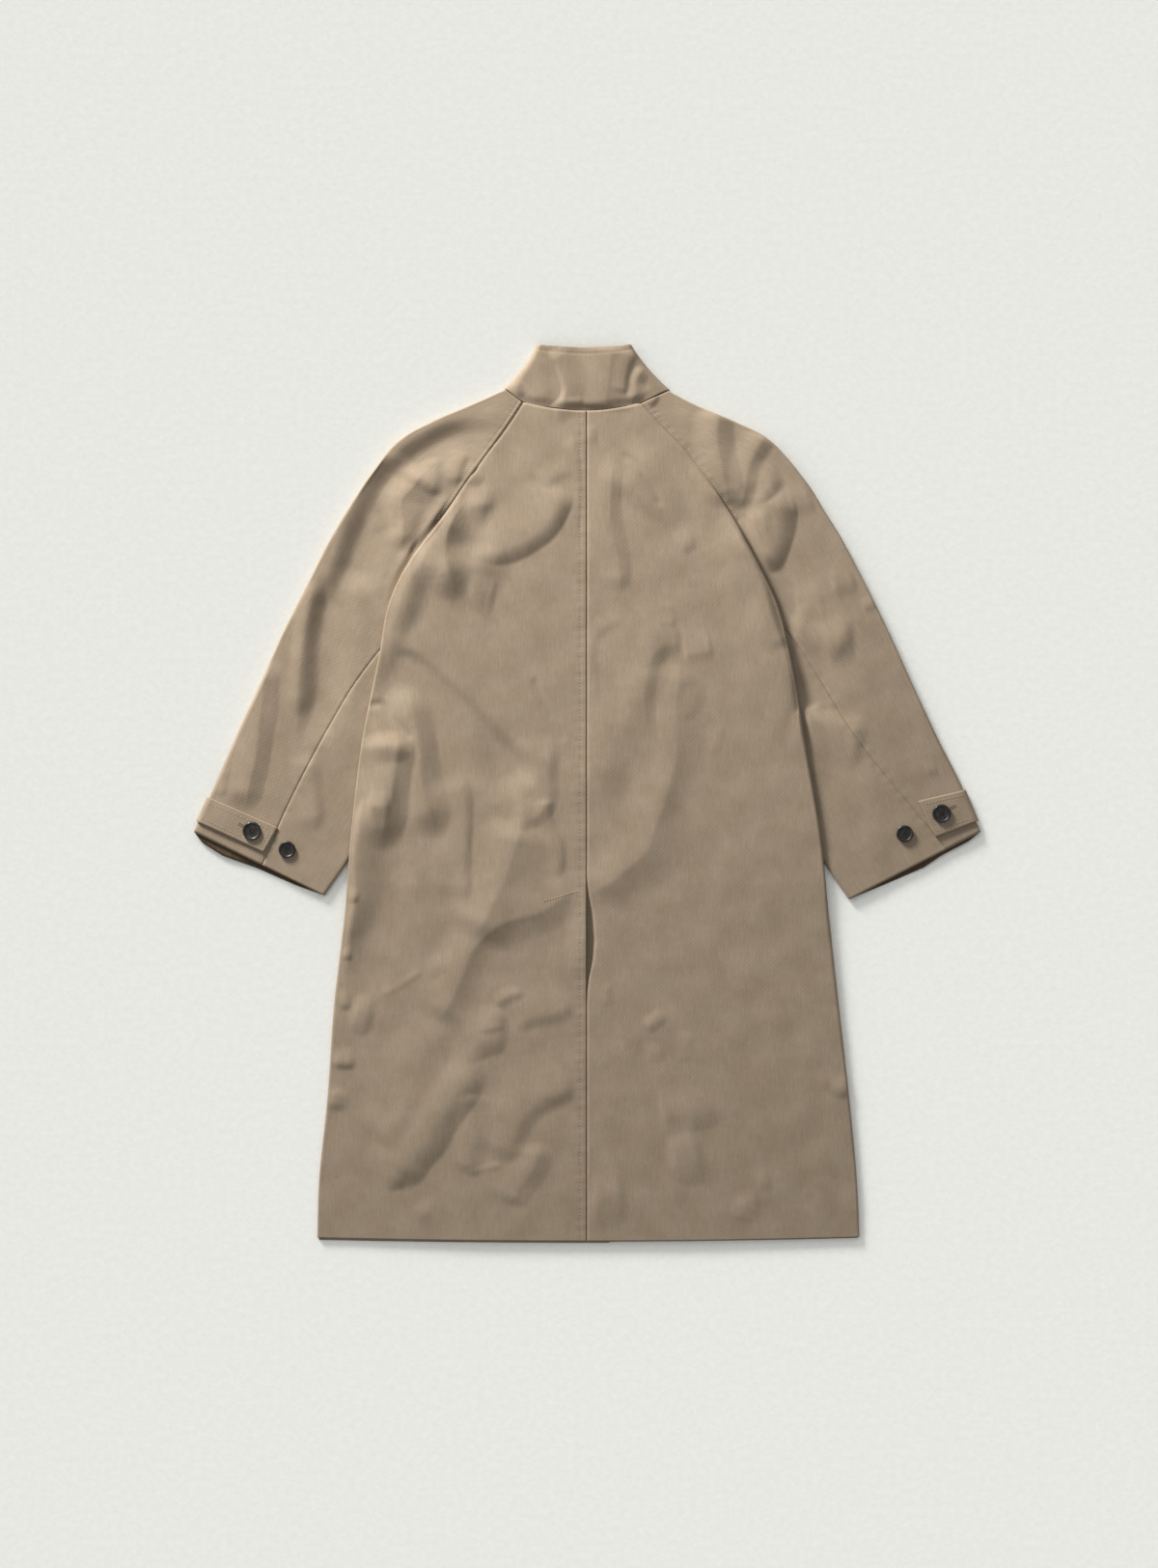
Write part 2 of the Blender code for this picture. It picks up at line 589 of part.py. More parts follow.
def make_collar():
    round_it = [-1, -0.85, -0.7, -0.58, -0.55, -0.525, -0.5, -0.475, -0.45, -0.4, -0.3, -0.2, -0.1]
    round_it = round_it + [0] + [-x for x in reversed(round_it)]
    cloth_wall("collar", round_it, np.linspace(0, 1, 6), collar_place, COLLAR_CLOTH)


def make_straps():
    for side in (LEFT, RIGHT):
        end = STRAP[side][-1, 0]
        start = STRAP[side][0, 0]
        shares = [
            -0.15, -0.08, -0.03, -0.022, -0.014, -0.007, -0.002, 0, 0.002, 0.007, 0.014, 0.022,
            0.03, 0.05, 0.1, 0.17, 0.24, 0.32, 0.4, 0.49,
        ]
        across = [(share - start) / (end - start) for share in shares if share < end - 0.02] + [1]
        cloth_wall(
            "cuff_strap_" + SIDE_NAMES[side], across, [0, 0.33, 0.67, 1],
            lambda across, between, side=side: strap_place(side, across, between),
            STRAP_CLOTH,
        )


def button_profile(radius):
    """Right half of a button's section, from its dished face round the rim to its flat back."""
    return (
        (0, BUTTON_THICK - BUTTON_DISH), (radius - BUTTON_RIM - 0.8, BUTTON_THICK - BUTTON_DISH),
        (radius - BUTTON_RIM, BUTTON_THICK - 0.2), (radius - 1.2, BUTTON_THICK),
        (radius - 0.2, BUTTON_THICK - 0.9), (radius, BUTTON_THICK - 1.6), (radius - 1.6, 0.5),
        (radius * 0.55, 0), (0, 0),
    )


def turned_button(radius):
    """One button with its four thread holes, on the frame's origin."""
    mesh = bpy.data.meshes.new("button_profile")
    points = [(r * MM, 0, z * MM) for r, z in button_profile(radius)]
    mesh.from_pydata(points, [(i, i + 1) for i in range(len(points) - 1)], [])
    turned = bpy.data.objects.new("button_blank", mesh)
    cutters.objects.link(turned)
    spin = turned.modifiers.new("turn", "SCREW")
    spin.steps = spin.render_steps = 20
    spin.use_merge_vertices = True
    spin.merge_threshold = 0.00001
    spin.use_normal_calculate = True
    holes = bmesh.new()
    for quarter in range(4):
        angle = math.pi / 4 + quarter * math.pi / 2
        made = bmesh.ops.create_cone(
            holes, cap_ends=True, segments=8, radius1=BUTTON_HOLE / 2 * MM,
            radius2=BUTTON_HOLE / 2 * MM, depth=3 * BUTTON_THICK * MM,
        )
        reach = BUTTON_HOLE_PITCH / 2 * MM
        middle = (reach * math.cos(angle), reach * math.sin(angle), BUTTON_THICK / 2 * MM)
        bmesh.ops.translate(holes, verts=made["verts"], vec=middle)
    hole_mesh = bpy.data.meshes.new("button_holes")
    holes.to_mesh(hole_mesh)
    holes.free()
    cutter = bpy.data.objects.new("button_holes", hole_mesh)
    cutter.hide_render = True
    cutter.display_type = "WIRE"
    cutters.objects.link(cutter)
    drill = turned.modifiers.new("drill", "BOOLEAN")
    drill.operation = "DIFFERENCE"
    drill.object = cutter
    bpy.context.view_layer.update()
    graph = bpy.context.evaluated_depsgraph_get()
    finished = bpy.data.meshes.new_from_object(turned.evaluated_get(graph))
    bpy.data.objects.remove(turned)
    return finished


def make_buttons():
    for name, side, share, row, diameter, on_strap in BUTTONS:
        seat = CLOTH / 2 + LAYER_GAP
        if on_strap:
            seat = seat + STRAP_CLOTH + LAYER_GAP
        row = np.array([row, row, row, row + 0.02, row - 0.02])
        share = np.array([share, share + 0.01, share - 0.01, share, share])
        points = on_sleeve(side, row, share, seat)
        across = points[1] - points[2]
        along = points[4] - points[3]
        upward = np.cross(across, along)
        if upward[2] < 0:
            upward = -upward
        upward = upward / np.linalg.norm(upward)
        across = across / np.linalg.norm(across)
        aside = np.cross(upward, across)
        mesh = turned_button(diameter / 2)
        mesh.name = name
        mesh.materials.clear()
        mesh.materials.append(material(name, HORN_COLOUR, HORN_ROUGHNESS))
        made = bpy.data.objects.new(name, mesh)
        coat.objects.link(made)
        turn = np.eye(4)
        turn[:3, 0], turn[:3, 1], turn[:3, 2], turn[:3, 3] = across, aside, upward, points[0]
        made.matrix_world = Matrix(turn.tolist())
        mesh.shade_smooth()
        mesh.set_sharp_from_angle(angle=math.radians(35))


for old in list(bpy.data.objects):
    bpy.data.objects.remove(old)
coat = bpy.data.collections.new("balmacaan_coat")
cutters = bpy.data.collections.new("cutters")
bpy.context.scene.collection.children.link(coat)
bpy.context.scene.collection.children.link(cutters)
make_backs()
make_fronts()
make_sleeves()
make_collar()
make_straps()
make_buttons()
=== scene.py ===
"""The looks of a taupe balmacaan coat that lies on its front on a pale floor, collar turned up.

Places on the coat are in millimetres, as a maker measures them: x is how far out from the
centre-back seam, towards the wearer's right, and down is how far below the back neck point.
Seen from above, the wearer's right is on the right.
"""

import functools
import math

import bmesh
import bpy
import numpy as np
from mathutils import Matrix, Vector


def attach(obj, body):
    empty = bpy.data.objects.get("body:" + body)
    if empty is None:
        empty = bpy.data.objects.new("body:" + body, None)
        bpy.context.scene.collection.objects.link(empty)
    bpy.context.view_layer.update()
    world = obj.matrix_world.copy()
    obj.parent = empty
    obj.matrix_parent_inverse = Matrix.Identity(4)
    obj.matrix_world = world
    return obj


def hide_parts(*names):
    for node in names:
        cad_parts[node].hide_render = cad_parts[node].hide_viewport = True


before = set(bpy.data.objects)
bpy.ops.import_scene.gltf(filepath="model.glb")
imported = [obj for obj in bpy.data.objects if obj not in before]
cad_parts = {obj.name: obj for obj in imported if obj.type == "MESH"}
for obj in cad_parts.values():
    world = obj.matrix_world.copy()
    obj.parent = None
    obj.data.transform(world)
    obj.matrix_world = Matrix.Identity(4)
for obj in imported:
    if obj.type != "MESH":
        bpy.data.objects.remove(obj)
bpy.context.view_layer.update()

MM = 0.001
LEFT = -1
RIGHT = 1
SIDE_NAMES = {LEFT: "left", RIGHT: "right"}
BODY = "root"

# Studio light: where the key comes from in plan, how high, how far and how wide it is in
# metres, the shares of key and fill, and the key's shares that reach the floor direct and soft
KEY_FROM = (-0.55, 0.835)
KEY_ELEVATION = math.radians(19)
KEY_DISTANCE = 3.5
KEY_SIZE = 0.9
KEY_SHARE = 0.64
FILL = 0.38
FLOOR_KEY = 0.5
FLOOR_FILL = 0.325
FLOOR_REACH = 30

# The back neck point in the frame, whose origin is under the middle of the coat's outline
CENTRE_BACK_X = -1.5
NECK_POINT_Y = 495.9

# Cloth, and the small gap at a seam
CLOTH = 1.5
COLLAR_CLOTH = 2.2
STRAP_CLOTH = 2.4
SEAM_GAP = 0.15
LAYER_GAP = 0.4

# Spacing of the grids that the cloth is made of, on sides that show and on sides that don't
FINE = 3.1
PLAIN = 9.0

# Heights of the middle of each wall above the floor
FLOOR_WALL = CLOTH / 2
OVER_FRONT = CLOTH + LAYER_GAP + CLOTH / 2
TUCKED_SLEEVE = 5.8
OVER_SLEEVE = 7.9
OVER_TUCKED = TUCKED_SLEEVE + CLOTH + LAYER_GAP

# Side edges, where the back rolls down onto the sleeve and lower down onto the front
ROLL_ANGLE = 0.85 * math.pi
ROLL_OPEN_WIDTH = 6.0
FOLD_STARTS = 143.0
FOLD_FULL = 200.0
SLEEVE_LEAVES = 600.0
FRONT_REACHED = 660.0
FRONT_SET_BACK = 1.2

# Past the side edge the sleeve's upper wall rises and its lower wall sinks to the floor
UPPER_WALL_RISE = {LEFT: (7.0, 120.0), RIGHT: (24.0, 84.0)}
LOWER_WALL_SINK = (16.0, 60.0)
UPPER_WALL_TUCKS = 70.0
LOWER_WALL_TUCKS = 96.0
TUCK_FULL = 145.0
TUCK_ENDS = 640.0

# Centre-back seam, where the left back laps over the right back, its vent, and the front lap
SEAM_LAP = 9.0
SEAM_STEP = 1.7
SEAM_SLOPE = 3.6
VENT_TOP = 617.0
VENT_LAP = 42.0
HEM = 1074.0
FRONT_LAP = 30.0
FRONT_LAP_TURN = 4.0
FRONT_LAP_RISE = 14.0

# Seams and their topstitching
CENTRE_BAND = 14.0
CENTRE_BAND_SHARE = 0.1
CENTRE_STITCH = 7.5
RAGLAN_STITCH = 5.0
RAGLAN_STEP = 1.3
RAGLAN_STEP_WIDTH = 16.0
RAGLAN_STEP_ROWS = (1.2, 2.6)
RAGLAN_SLANT = 0.7
SEAM_GROOVE = 1.7
SEAM_DEPTH = 1.1
STITCH_GROOVE = 1.3
STITCH_DEPTH = 0.5
CENTRE_STITCH_DEPTH = 0.22
WELT = 0.45
STRAP_STITCH = 6.0
THREAD_LIFT = 0.1
ON_STRAP = CLOTH / 2 + LAYER_GAP + STRAP_CLOTH + THREAD_LIFT

# Back panels. Columns: down at the centre, out at the side edge, down at the side edge
BACK_EDGE = {
    LEFT: np.array([
        (0, 82, -10), (22, 99, 16), (60, 128, 56), (98, 157, 96), (143, 188, 142),
        (172, 211, 171), (207, 235, 207), (249, 254, 249), (311, 266, 311), (434, 290, 434),
        (546, 303, 546), (647, 311, 647), (766, 325, 766), (891, 334, 891), (1000, 345, 1000),
        (1074, 347, 1070),
    ], float),
    RIGHT: np.array([
        (0, 71, -9), (22, 94, 16), (60, 130, 54), (98, 160, 94), (143, 191, 141),
        (172, 208, 172), (210, 228, 210), (249, 246, 249), (311, 262, 311), (438, 284, 438),
        (546, 302, 546), (647, 313, 647), (766, 326, 766), (891, 340, 891), (1000, 350, 1000),
        (1074, 353, 1069),
    ], float),
}

# Where the vent gapes. Columns: down, how far open, how much deeper the right back lies, how far
# the left back's edge lifts
VENT_GAPE = np.array([
    (600, 0, 0, 0), (624, 2, 0.8, 1.0), (650, 7, 2.2, 3.2), (686, 10, 2.8, 4.2), (712, 7, 2.2, 3.0),
    (735, 2, 1.2, 1.0), (765, 0, 0, 0),
], float)
VENT_LIP = 30.0
VENT_SLOPE = 3.5

# Front panels above the underarm. Columns: down at the centre, out and down at the raglan seam
FRONT_RAGLAN = {
    LEFT: np.array([(69, 74, 18), (90, 97, 44), (112, 124, 76), (133, 157, 109)], float),
    RIGHT: np.array([(69, 74, 18), (90, 98, 46), (112, 128, 78), (133, 162, 112)], float),
}
FRONT_HEM_DROP = {LEFT: 3.0, RIGHT: 1.5}

# Sleeves, a row for each section from neck to cuff. Columns: outer fold out and down, share of
# the width at which the back sleeve seam lies, height of the upper wall
SLEEVE = {
    LEFT: np.array([
        (104, -27, 1.00, 9.0), (144, -9, 1.00, 10.0), (202, 16, 1.00, 11.0),
        (244, 41, 1.00, 11.5), (275, 79, 1.00, 11.5), (300, 116, 1.00, 11.0),
        (330, 166, 0.80, 11.0), (362, 229, 0.60, 11.0), (393, 291, 0.53, 10.5),
        (422, 356, 0.495, 10.0), (452, 421, 0.487, 9.0), (478, 481, 0.490, 7.5),
        (507, 545, 0.525, 6.0),
    ], float),
    RIGHT: np.array([
        (106, -25, 1.00, 9.0), (143, -6, 1.00, 10.0), (195, 16, 1.00, 11.0),
        (240, 41, 1.00, 11.5), (284, 92, 1.00, 11.5), (307, 129, 1.00, 11.0),
        (330, 166, 0.74, 11.0), (361, 225, 0.56, 11.0), (393, 291, 0.505, 10.5),
        (422, 355, 0.475, 10.0), (453, 421, 0.410, 9.0), (483, 481, 0.340, 7.5),
        (510, 545, 0.256, 6.0),
    ], float),
}
UNDERARM_ROW = 4
LAST_ROW = 12
SLEEVE_ROWS = np.arange(LAST_ROW + 1, dtype=float)
UNDER_SLEEVE_STARTS = 6
SEAM_STARTS = 5.6
FRONT_SLEEVE_SEAM = 0.75
SLEEVE_ROLL = 4.0
OUTER_ROLL = 1.3
OUTER_ROLL_SHARE = 0.1
INNER_ROLL = 1.6
INNER_ROLL_SHARE = 0.15

# Rows over which the outer and the inner fold's roll opens towards the cuff, over which the
# raglan seam ends, and over which the upper wall leaves the back, which it joins from a share of
# its width on
OUTER_ROLL_OPENS = (9.5, 10.5)
INNER_ROLL_OPENS = (10, 11)
RAGLAN_ENDS = (4, 4.5)
LEAVES_BACK = (3.2, 4)
JOINS_BACK_SHARE = 0.4
ROW_LENGTH = 55.0

# The sleeve's creases grow to full over these distances from its outer fold, and past the
# body's side edge
CREASES_FROM_FOLD = (0, 2.5)
CREASES_FROM_BODY = (2, 14)

# Where the back lies over the sleeve: how far out, and how far down it starts and ends
OVER_SLEEVE_OUT = (110, 150)
OVER_SLEEVE_STARTS = (60, 110)
OVER_SLEEVE_ENDS = (600, 680)

# The sleeve's inner fold from the underarm row to the cuff. Columns: out, down
INNER_FOLD = {
    LEFT: np.array([
        (188, 142), (182, 191), (172, 254), (174, 329), (209, 398), (240, 460), (274, 522),
        (307, 579), (339, 627),
    ], float),
    RIGHT: np.array([
        (191, 141), (193, 200), (181, 266), (181, 335), (213, 401), (245, 462), (276, 524),
        (307, 581), (341, 632),
    ], float),
}

# How far the cuff's lower wall reaches past the upper one. Columns: share of the width, reach
CUFF_REACH = {
    LEFT: np.array([(0, 0), (0.08, 8), (0.25, 12), (0.5, 7), (0.8, 5), (1, 0)], float),
    RIGHT: np.array([(0, 0), (0.1, 4), (0.3, 4), (0.45, 8), (0.7, 5), (1, 0)], float),
}
LAST_ROW_LENGTH = 70.0

# Height of the back wall. Columns: down, at the centre, near the side edge
BACK_HEIGHT = np.array([
    (-40, 9, 9), (60, 9, 9), (120, 9.5, 11), (185, 10, 13), (311, 10, 13.4), (546, 10, 13.2),
    (610, 9.5, 12.5), (680, 9, 10), (850, 8.2, 8.2), (1000, 7.6, 7), (1074, 7.0, 5.6),
], float)

# The left side edge lies this much lower. The edge's height starts to tell at this share of the
# way out, and the creases get calmer towards the hem
LEFT_EDGE_LOWER = 1.6
EDGE_HEIGHT_STARTS = 0.35
CALM_STARTS = 1020.0
CALM_HEM = 0.6

# The collar, a row for each section. Columns: place round it, from the centre front's left end
# at -1 by the folds at -0.5 and 0.5 to the right end at 1, x and down at the neck seam,
# x and down at the upper edge
COLLAR = np.array([
    (-1.00, -2.5, 67, -4, -19), (-0.82, -58, 36, -32, -44), (-0.65, -85, -1, -50, -66),
    (-0.50, -104, -28.2, -63, -84), (-0.40, -83, -12, -50, -84), (-0.20, -44, -4, -26, -82.5),
    (0.00, 0, 0, 0, -81.5), (0.20, 40, -4, 25, -82.5), (0.38, 72, -10.6, 45, -83.5),
    (0.50, 107, -26.6, 58, -84), (0.65, 86, -1, 48, -66), (0.82, 58, 36, 32, -44),
    (1.00, 2.5, 67, 4, -19),
], float)
COLLAR_FOLD = 0.5
COLLAR_TURN = 0.05
COLLAR_BOW = 4.0
COLLAR_BOW_REACH = 0.35
COLLAR_SEAM_WIDTH = 0.16
COLLAR_BASE_HEIGHT = 8.6
COLLAR_TOP_HEIGHT = 14.5
COLLAR_SINKS = 2.2
COLLAR_STITCH = 0.9
COLLAR_HEIGHT = 80.0

# Cuff straps. Columns: share across the sleeve, sleeve row of the upper and of the lower edge
STRAP = {
    LEFT: np.array([(-0.15, 11.33, 11.80), (0, 11.31, 11.80), (0.49, 11.17, 11.745)], float),
    RIGHT: np.array([(-0.15, 11.18, 11.79), (0, 11.16, 11.79), (0.29, 10.91, 11.69)], float),
}
STRAP_LIFT_ROWS = (10.2, 11)
STRAP_LIFT_SHARES = (0.25, 0.6)

# Buttons. Columns: name, side, share across the sleeve, sleeve row, diameter, on the strap
BUTTONS = (
    ("button_strap_left", LEFT, 0.354, 11.475, 24.0, True),
    ("button_cuff_left", LEFT, 0.620, 11.470, 22.0, False),
    ("button_strap_right", RIGHT, 0.190, 11.340, 24.0, True),
    ("button_cuff_right", RIGHT, 0.463, 11.340, 22.0, False),
)
BUTTON_THICK = 3.4
BUTTON_RIM = 2.6
BUTTON_DISH = 1.1
BUTTON_HOLE = 2.0
BUTTON_HOLE_PITCH = 4.6

# Creases, each a soft ridge: up on its lit side, down on its shaded side, or a trough where its
# height is negative. Columns: height, how wide its lit and its shaded slope are, their shapes,
# how far in from its first and its last end it is full, and its line as points of x and down,
# which runs down or to the left so that its shaded side is on the right or below.
# A slope is soft all over, steeper by its crest, steeper by its foot, or all but straight
SOFT = (0, 0)
CREST = (1.5, 0)
FOOT = (0, 1.5)
FLAT = (0.9, 0.9)
CREASES = (
    # Left back, from the neck to the underarm
    (9.0, 44, 32, SOFT, CREST, 47, 60, (-152, 112), (-170, 138), (-178, 170), (-178, 205), (-168, 250)),
    (4.0, 30, 34, SOFT, CREST, 21, 24, (-112, 124), (-130, 121), (-158, 126)),
    (4.4, 60, 20, SOFT, FOOT, 25, 40, (-30, 98), (-45, 132), (-64, 156), (-88, 174), (-118, 182),
     (-150, 180)),
    (1.2, 22, 12, SOFT, SOFT, 8, 8, (-18, 76), (-38, 84), (-56, 100)),
    (1.9, 18, 18, SOFT, FOOT, 12, 12, (-140, 72), (-150, 84), (-156, 97)),
    (0.6, 18, 7, SOFT, SOFT, 20, 20, (-13, 30), (-12, 165)),
    (4.2, 30, 28, SOFT, SOFT, 27, 50, (-198, 172), (-219, 200), (-231, 240), (-243, 290)),
    (1.8, 12, 24, SOFT, SOFT, 20, 20, (-186, 158), (-212, 200), (-236, 240), (-248, 270), (-256, 306)),
    (5.0, 40, 62, SOFT, SOFT, 50, 50, (-96, 214), (-150, 206), (-214, 214)),
    (1.6, 26, 30, SOFT, FOOT, 12, 20, (-112, 241), (-134, 238), (-158, 246)),
    # Left back, from the underarm to the vent
    (-7.6, 28, 66, SOFT, SOFT, 44, 50, (-66, 486), (-104, 450), (-146, 406), (-191, 366), (-226, 334),
     (-266, 306)),
    (7.0, 40, 26, SOFT, FLAT, 60, 46, (-232, 336), (-223, 390), (-218, 430), (-210, 470), (-203, 510),
     (-196, 558)),
    (4.2, 60, 22, SOFT, FLAT, 27, 27, (-222, 430), (-250, 435), (-288, 437)),
    (-1.6, 10, 8, SOFT, SOFT, 10, 10, (-226, 428), (-247, 403), (-262, 379), (-284, 381)),
    (8.8, 56, 25, SOFT, FLAT, 30, 56, (-244, 414), (-248, 470), (-253, 514), (-266, 572)),
    (5.0, 14, 56, SOFT, FLAT, 40, 110, (-284, 500), (-293, 560), (-301, 640), (-308, 770)),
    (2.6, 24, 20, SOFT, CREST, 8, 12, (-250, 510), (-284, 514)),
    (-3.6, 40, 44, SOFT, SOFT, 90, 60, (-250, 478), (-256, 600), (-270, 660), (-286, 704), (-294, 770)),
    (2.5, 47, 12, SOFT, FOOT, 40, 26, (-166, 460), (-160, 511), (-158, 560), (-157, 634)),
    (2.3, 60, 14, SOFT, FLAT, 40, 20, (-46, 415), (-49, 470), (-50, 512), (-62, 526), (-98, 530)),
    (1.6, 22, 10, SOFT, SOFT, 10, 20, (-48, 500), (-46, 540), (-38, 562), (-37, 606)),
    (-1.2, 7, 14, SOFT, SOFT, 14, 14, (-28, 429), (-45, 393), (-66, 344)),
    (6.0, 60, 66, SOFT, CREST, 34, 34, (-76, 526), (-92, 572), (-107, 610), (-128, 650), (-148, 690)),
    # Left back, from the vent to the hem
    (3.7, 54, 32, SOFT, CREST, 24, 24, (-6, 618), (-33, 631), (-58, 647), (-86, 658), (-110, 666),
     (-131, 681), (-146, 702), (-158, 731), (-168, 760), (-181, 783), (-188, 797)),
    (1.4, 14, 12, SOFT, CREST, 9, 9, (-81, 752), (-99, 755), (-122, 768)),
    (1.4, 18, 20, SOFT, FOOT, 9, 9, (-112, 770), (-125, 784), (-124, 804)),
    (2.1, 47, 20, SOFT, SOFT, 14, 20, (-16, 762), (-36, 778), (-66, 784), (-98, 795)),
    (2.8, 47, 26, SOFT, FOOT, 18, 30, (-98, 806), (-130, 810), (-168, 826)),
    (5.6, 60, 32, SOFT, FOOT, 36, 36, (-126, 850), (-153, 862), (-171, 884), (-190, 911), (-208, 938),
     (-227, 961), (-243, 988), (-250, 1004)),
    (1.4, 22, 12, SOFT, FOOT, 9, 9, (-236, 988), (-262, 1000)),
    (2.6, 54, 30, SOFT, SOFT, 17, 20, (-176, 816), (-202, 824), (-219, 852), (-236, 886), (-250, 916),
     (-272, 950)),
    (2.1, 25, 24, SOFT, SOFT, 15, 15, (-142, 880), (-146, 930), (-158, 990)),
    (0.5, 7, 4, SOFT, SOFT, 8, 8, (-105, 974), (-157, 988)),
    (2.8, 54, 24, SOFT, SOFT, 18, 25, (-14, 868), (-36, 877), (-56, 884), (-76, 900), (-89, 918),
     (-101, 946), (-108, 974)),
    (2.8, 43, 20, SOFT, FLAT, 20, 18, (-56, 944), (-66, 978), (-77, 996), (-90, 1014), (-102, 1030)),
    (0.9, 22, 14, SOFT, SOFT, 6, 6, (-200, 1034), (-220, 1046)),
    (0.5, 9, 7, SOFT, SOFT, 6, 10, (-214, 724), (-238, 738), (-270, 755)),
    (0.9, 22, 16, SOFT, FOOT, 6, 6, (-184, 712), (-208, 722)),
    (1.8, 18, 7, SOFT, FOOT, 7, 7, (-296, 627), (-312, 629)),
    (1.4, 14, 7, SOFT, FOOT, 7, 7, (-300, 704), (-316, 706)),
    (2.1, 22, 9, SOFT, FOOT, 10, 10, (-302, 768), (-324, 768)),
    (2.6, 29, 26, SOFT, FOOT, 17, 17, (-272, 784), (-292, 780), (-310, 772)),
    (2.1, 22, 8, SOFT, FOOT, 14, 14, (-292, 842), (-332, 842)),
    (2.1, 14, 20, SOFT, SOFT, 14, 14, (-318, 870), (-326, 905)),
    # Right back, from the neck to the underarm
    (2.8, 43, 16, SOFT, FLAT, 60, 24, (32, 40), (34, 150), (41, 196), (40, 238)),
    (3.5, 60, 95, SOFT, SOFT, 23, 23, (104, 62), (74, 84), (44, 118)),
    (1.6, 29, 16, SOFT, FOOT, 10, 10, (142, 162), (130, 168), (116, 178)),
    (-1.0, 7, 9, SOFT, SOFT, 6, 14, (98, 126), (93, 108), (77, 87), (62, 66), (40, 50)),
    (0.8, 14, 8, SOFT, SOFT, 10, 10, (10, 18), (9, 46)),
    (0.8, 22, 10, SOFT, SOFT, 10, 10, (109, 245), (108, 285)),
    (5.0, 70, 12, SOFT, SOFT, 60, 90, (178, 132), (199, 168), (220, 212), (239, 262), (256, 320),
     (272, 420)),
    # Right back, from the underarm to the vent
    (0.9, 18, 12, SOFT, SOFT, 20, 30, (54, 264), (30, 274), (14, 286), (9, 320), (9, 385)),
    (3.0, 60, 38, SOFT, SOFT, 100, 80, (86, 210), (76, 300), (68, 350), (50, 400), (33, 434),
     (21, 470), (6, 540)),
    (1.9, 43, 15, SOFT, FLAT, 12, 50, (123, 304), (98, 308), (80, 328), (76, 352), (79, 400),
     (80, 454)),
    (3.9, 60, 44, SOFT, CREST, 25, 25, (122, 325), (117, 416), (112, 460), (98, 520), (84, 566),
     (50, 600), (22, 618), (4, 626)),
    (1.3, 47, 16, SOFT, CREST, 8, 8, (166, 306), (145, 312), (124, 318)),
    (0.6, 20, 14, SOFT, SOFT, 16, 16, (152, 352), (140, 376), (126, 398)),
    (0.5, 18, 10, SOFT, SOFT, 12, 12, (172, 406), (164, 450)),
    # Right back, from the vent to the hem
    (1.6, 14, 12, SOFT, FOOT, 10, 10, (100, 780), (86, 792), (72, 800)),
    (0.6, 14, 8, SOFT, SOFT, 10, 10, (31, 735), (30, 772)),
    (0.6, 18, 14, SOFT, SOFT, 10, 10, (134, 800), (130, 842)),
    (0.7, 18, 12, SOFT, FOOT, 6, 6, (104, 828), (78, 834)),
    (2.0, 47, 30, SOFT, FOOT, 13, 13, (162, 894), (150, 903), (120, 907), (90, 910)),
    (2.5, 43, 40, SOFT, FOOT, 16, 16, (156, 956), (130, 962), (104, 968)),
    (0.9, 22, 16, SOFT, FOOT, 6, 6, (240, 992), (220, 1000)),
    (1.1, 22, 22, SOFT, FOOT, 7, 7, (226, 1026), (206, 1032), (198, 1050)),
    (2.6, 43, 42, SOFT, FOOT, 17, 17, (58, 1014), (30, 1018), (0, 1020)),
    (2.1, 18, 12, SOFT, FOOT, 14, 14, (342, 872), (330, 876), (322, 892)),
    (1.1, 22, 16, SOFT, SOFT, 7, 7, (326, 862), (300, 872)),
    # Left sleeve
    (-6.5, 28, 50, SOFT, SOFT, 60, 30, (-112, 28), (-145, 33), (-172, 38), (-200, 50), (-226, 68),
     (-240, 84)),
    (-7.5, 28, 60, SOFT, SOFT, 30, 50, (-230, 60), (-254, 90), (-274, 124), (-290, 156), (-304, 190),
     (-322, 246)),
    (-6.3, 26, 50, SOFT, SOFT, 50, 60, (-334, 204), (-336, 245), (-338, 285), (-345, 335),
     (-352, 385), (-366, 436)),
    (2.4, 18, 26, SOFT, SOFT, 24, 30, (-350, 214), (-361, 250), (-364, 300), (-370, 350), (-378, 400)),
    (4.8, 30, 34, SOFT, CREST, 26, 26, (-203, 70), (-222, 96), (-240, 117), (-237, 146), (-240, 186)),
    (1.5, 18, 14, SOFT, SOFT, 10, 10, (-197, 60), (-198, 86), (-203, 112)),
    (-4.0, 5, 6, SOFT, SOFT, 24, 24, (-202, 164), (-212, 171), (-223, 182), (-229, 206)),
    (1.8, 22, 10, SOFT, SOFT, 12, 12, (-158, 54), (-168, 78), (-172, 100)),
    (0.9, 22, 16, SOFT, SOFT, 6, 10, (-246, 140), (-264, 144), (-286, 152)),
    (4.5, 47, 21, SOFT, FLAT, 30, 30, (-409, 316), (-416, 362), (-424, 410), (-432, 470), (-437, 520)),
    (2.3, 32, 16, SOFT, SOFT, 20, 30, (-353, 440), (-354, 480), (-353, 550)),
    (1.1, 18, 10, SOFT, SOFT, 10, 10, (-468, 458), (-474, 500)),
    # Right sleeve
    (5.2, 40, 22, SOFT, FLAT, 20, 30, (172, -5), (173, 50), (177, 90), (184, 128)),
    (3.8, 29, 16, SOFT, FLAT, 14, 20, (232, 28), (216, 58), (206, 82), (202, 110), (200, 132)),
    (4.4, 40, 15, SOFT, FOOT, 23, 23, (258, 90), (240, 98), (222, 112), (214, 120)),
    (7.0, 50, 26, SOFT, FOOT, 30, 30, (252, 98), (247, 134), (238, 168), (218, 208)),
    (2.1, 18, 34, SOFT, SOFT, 14, 14, (244, 138), (225, 142), (208, 146)),
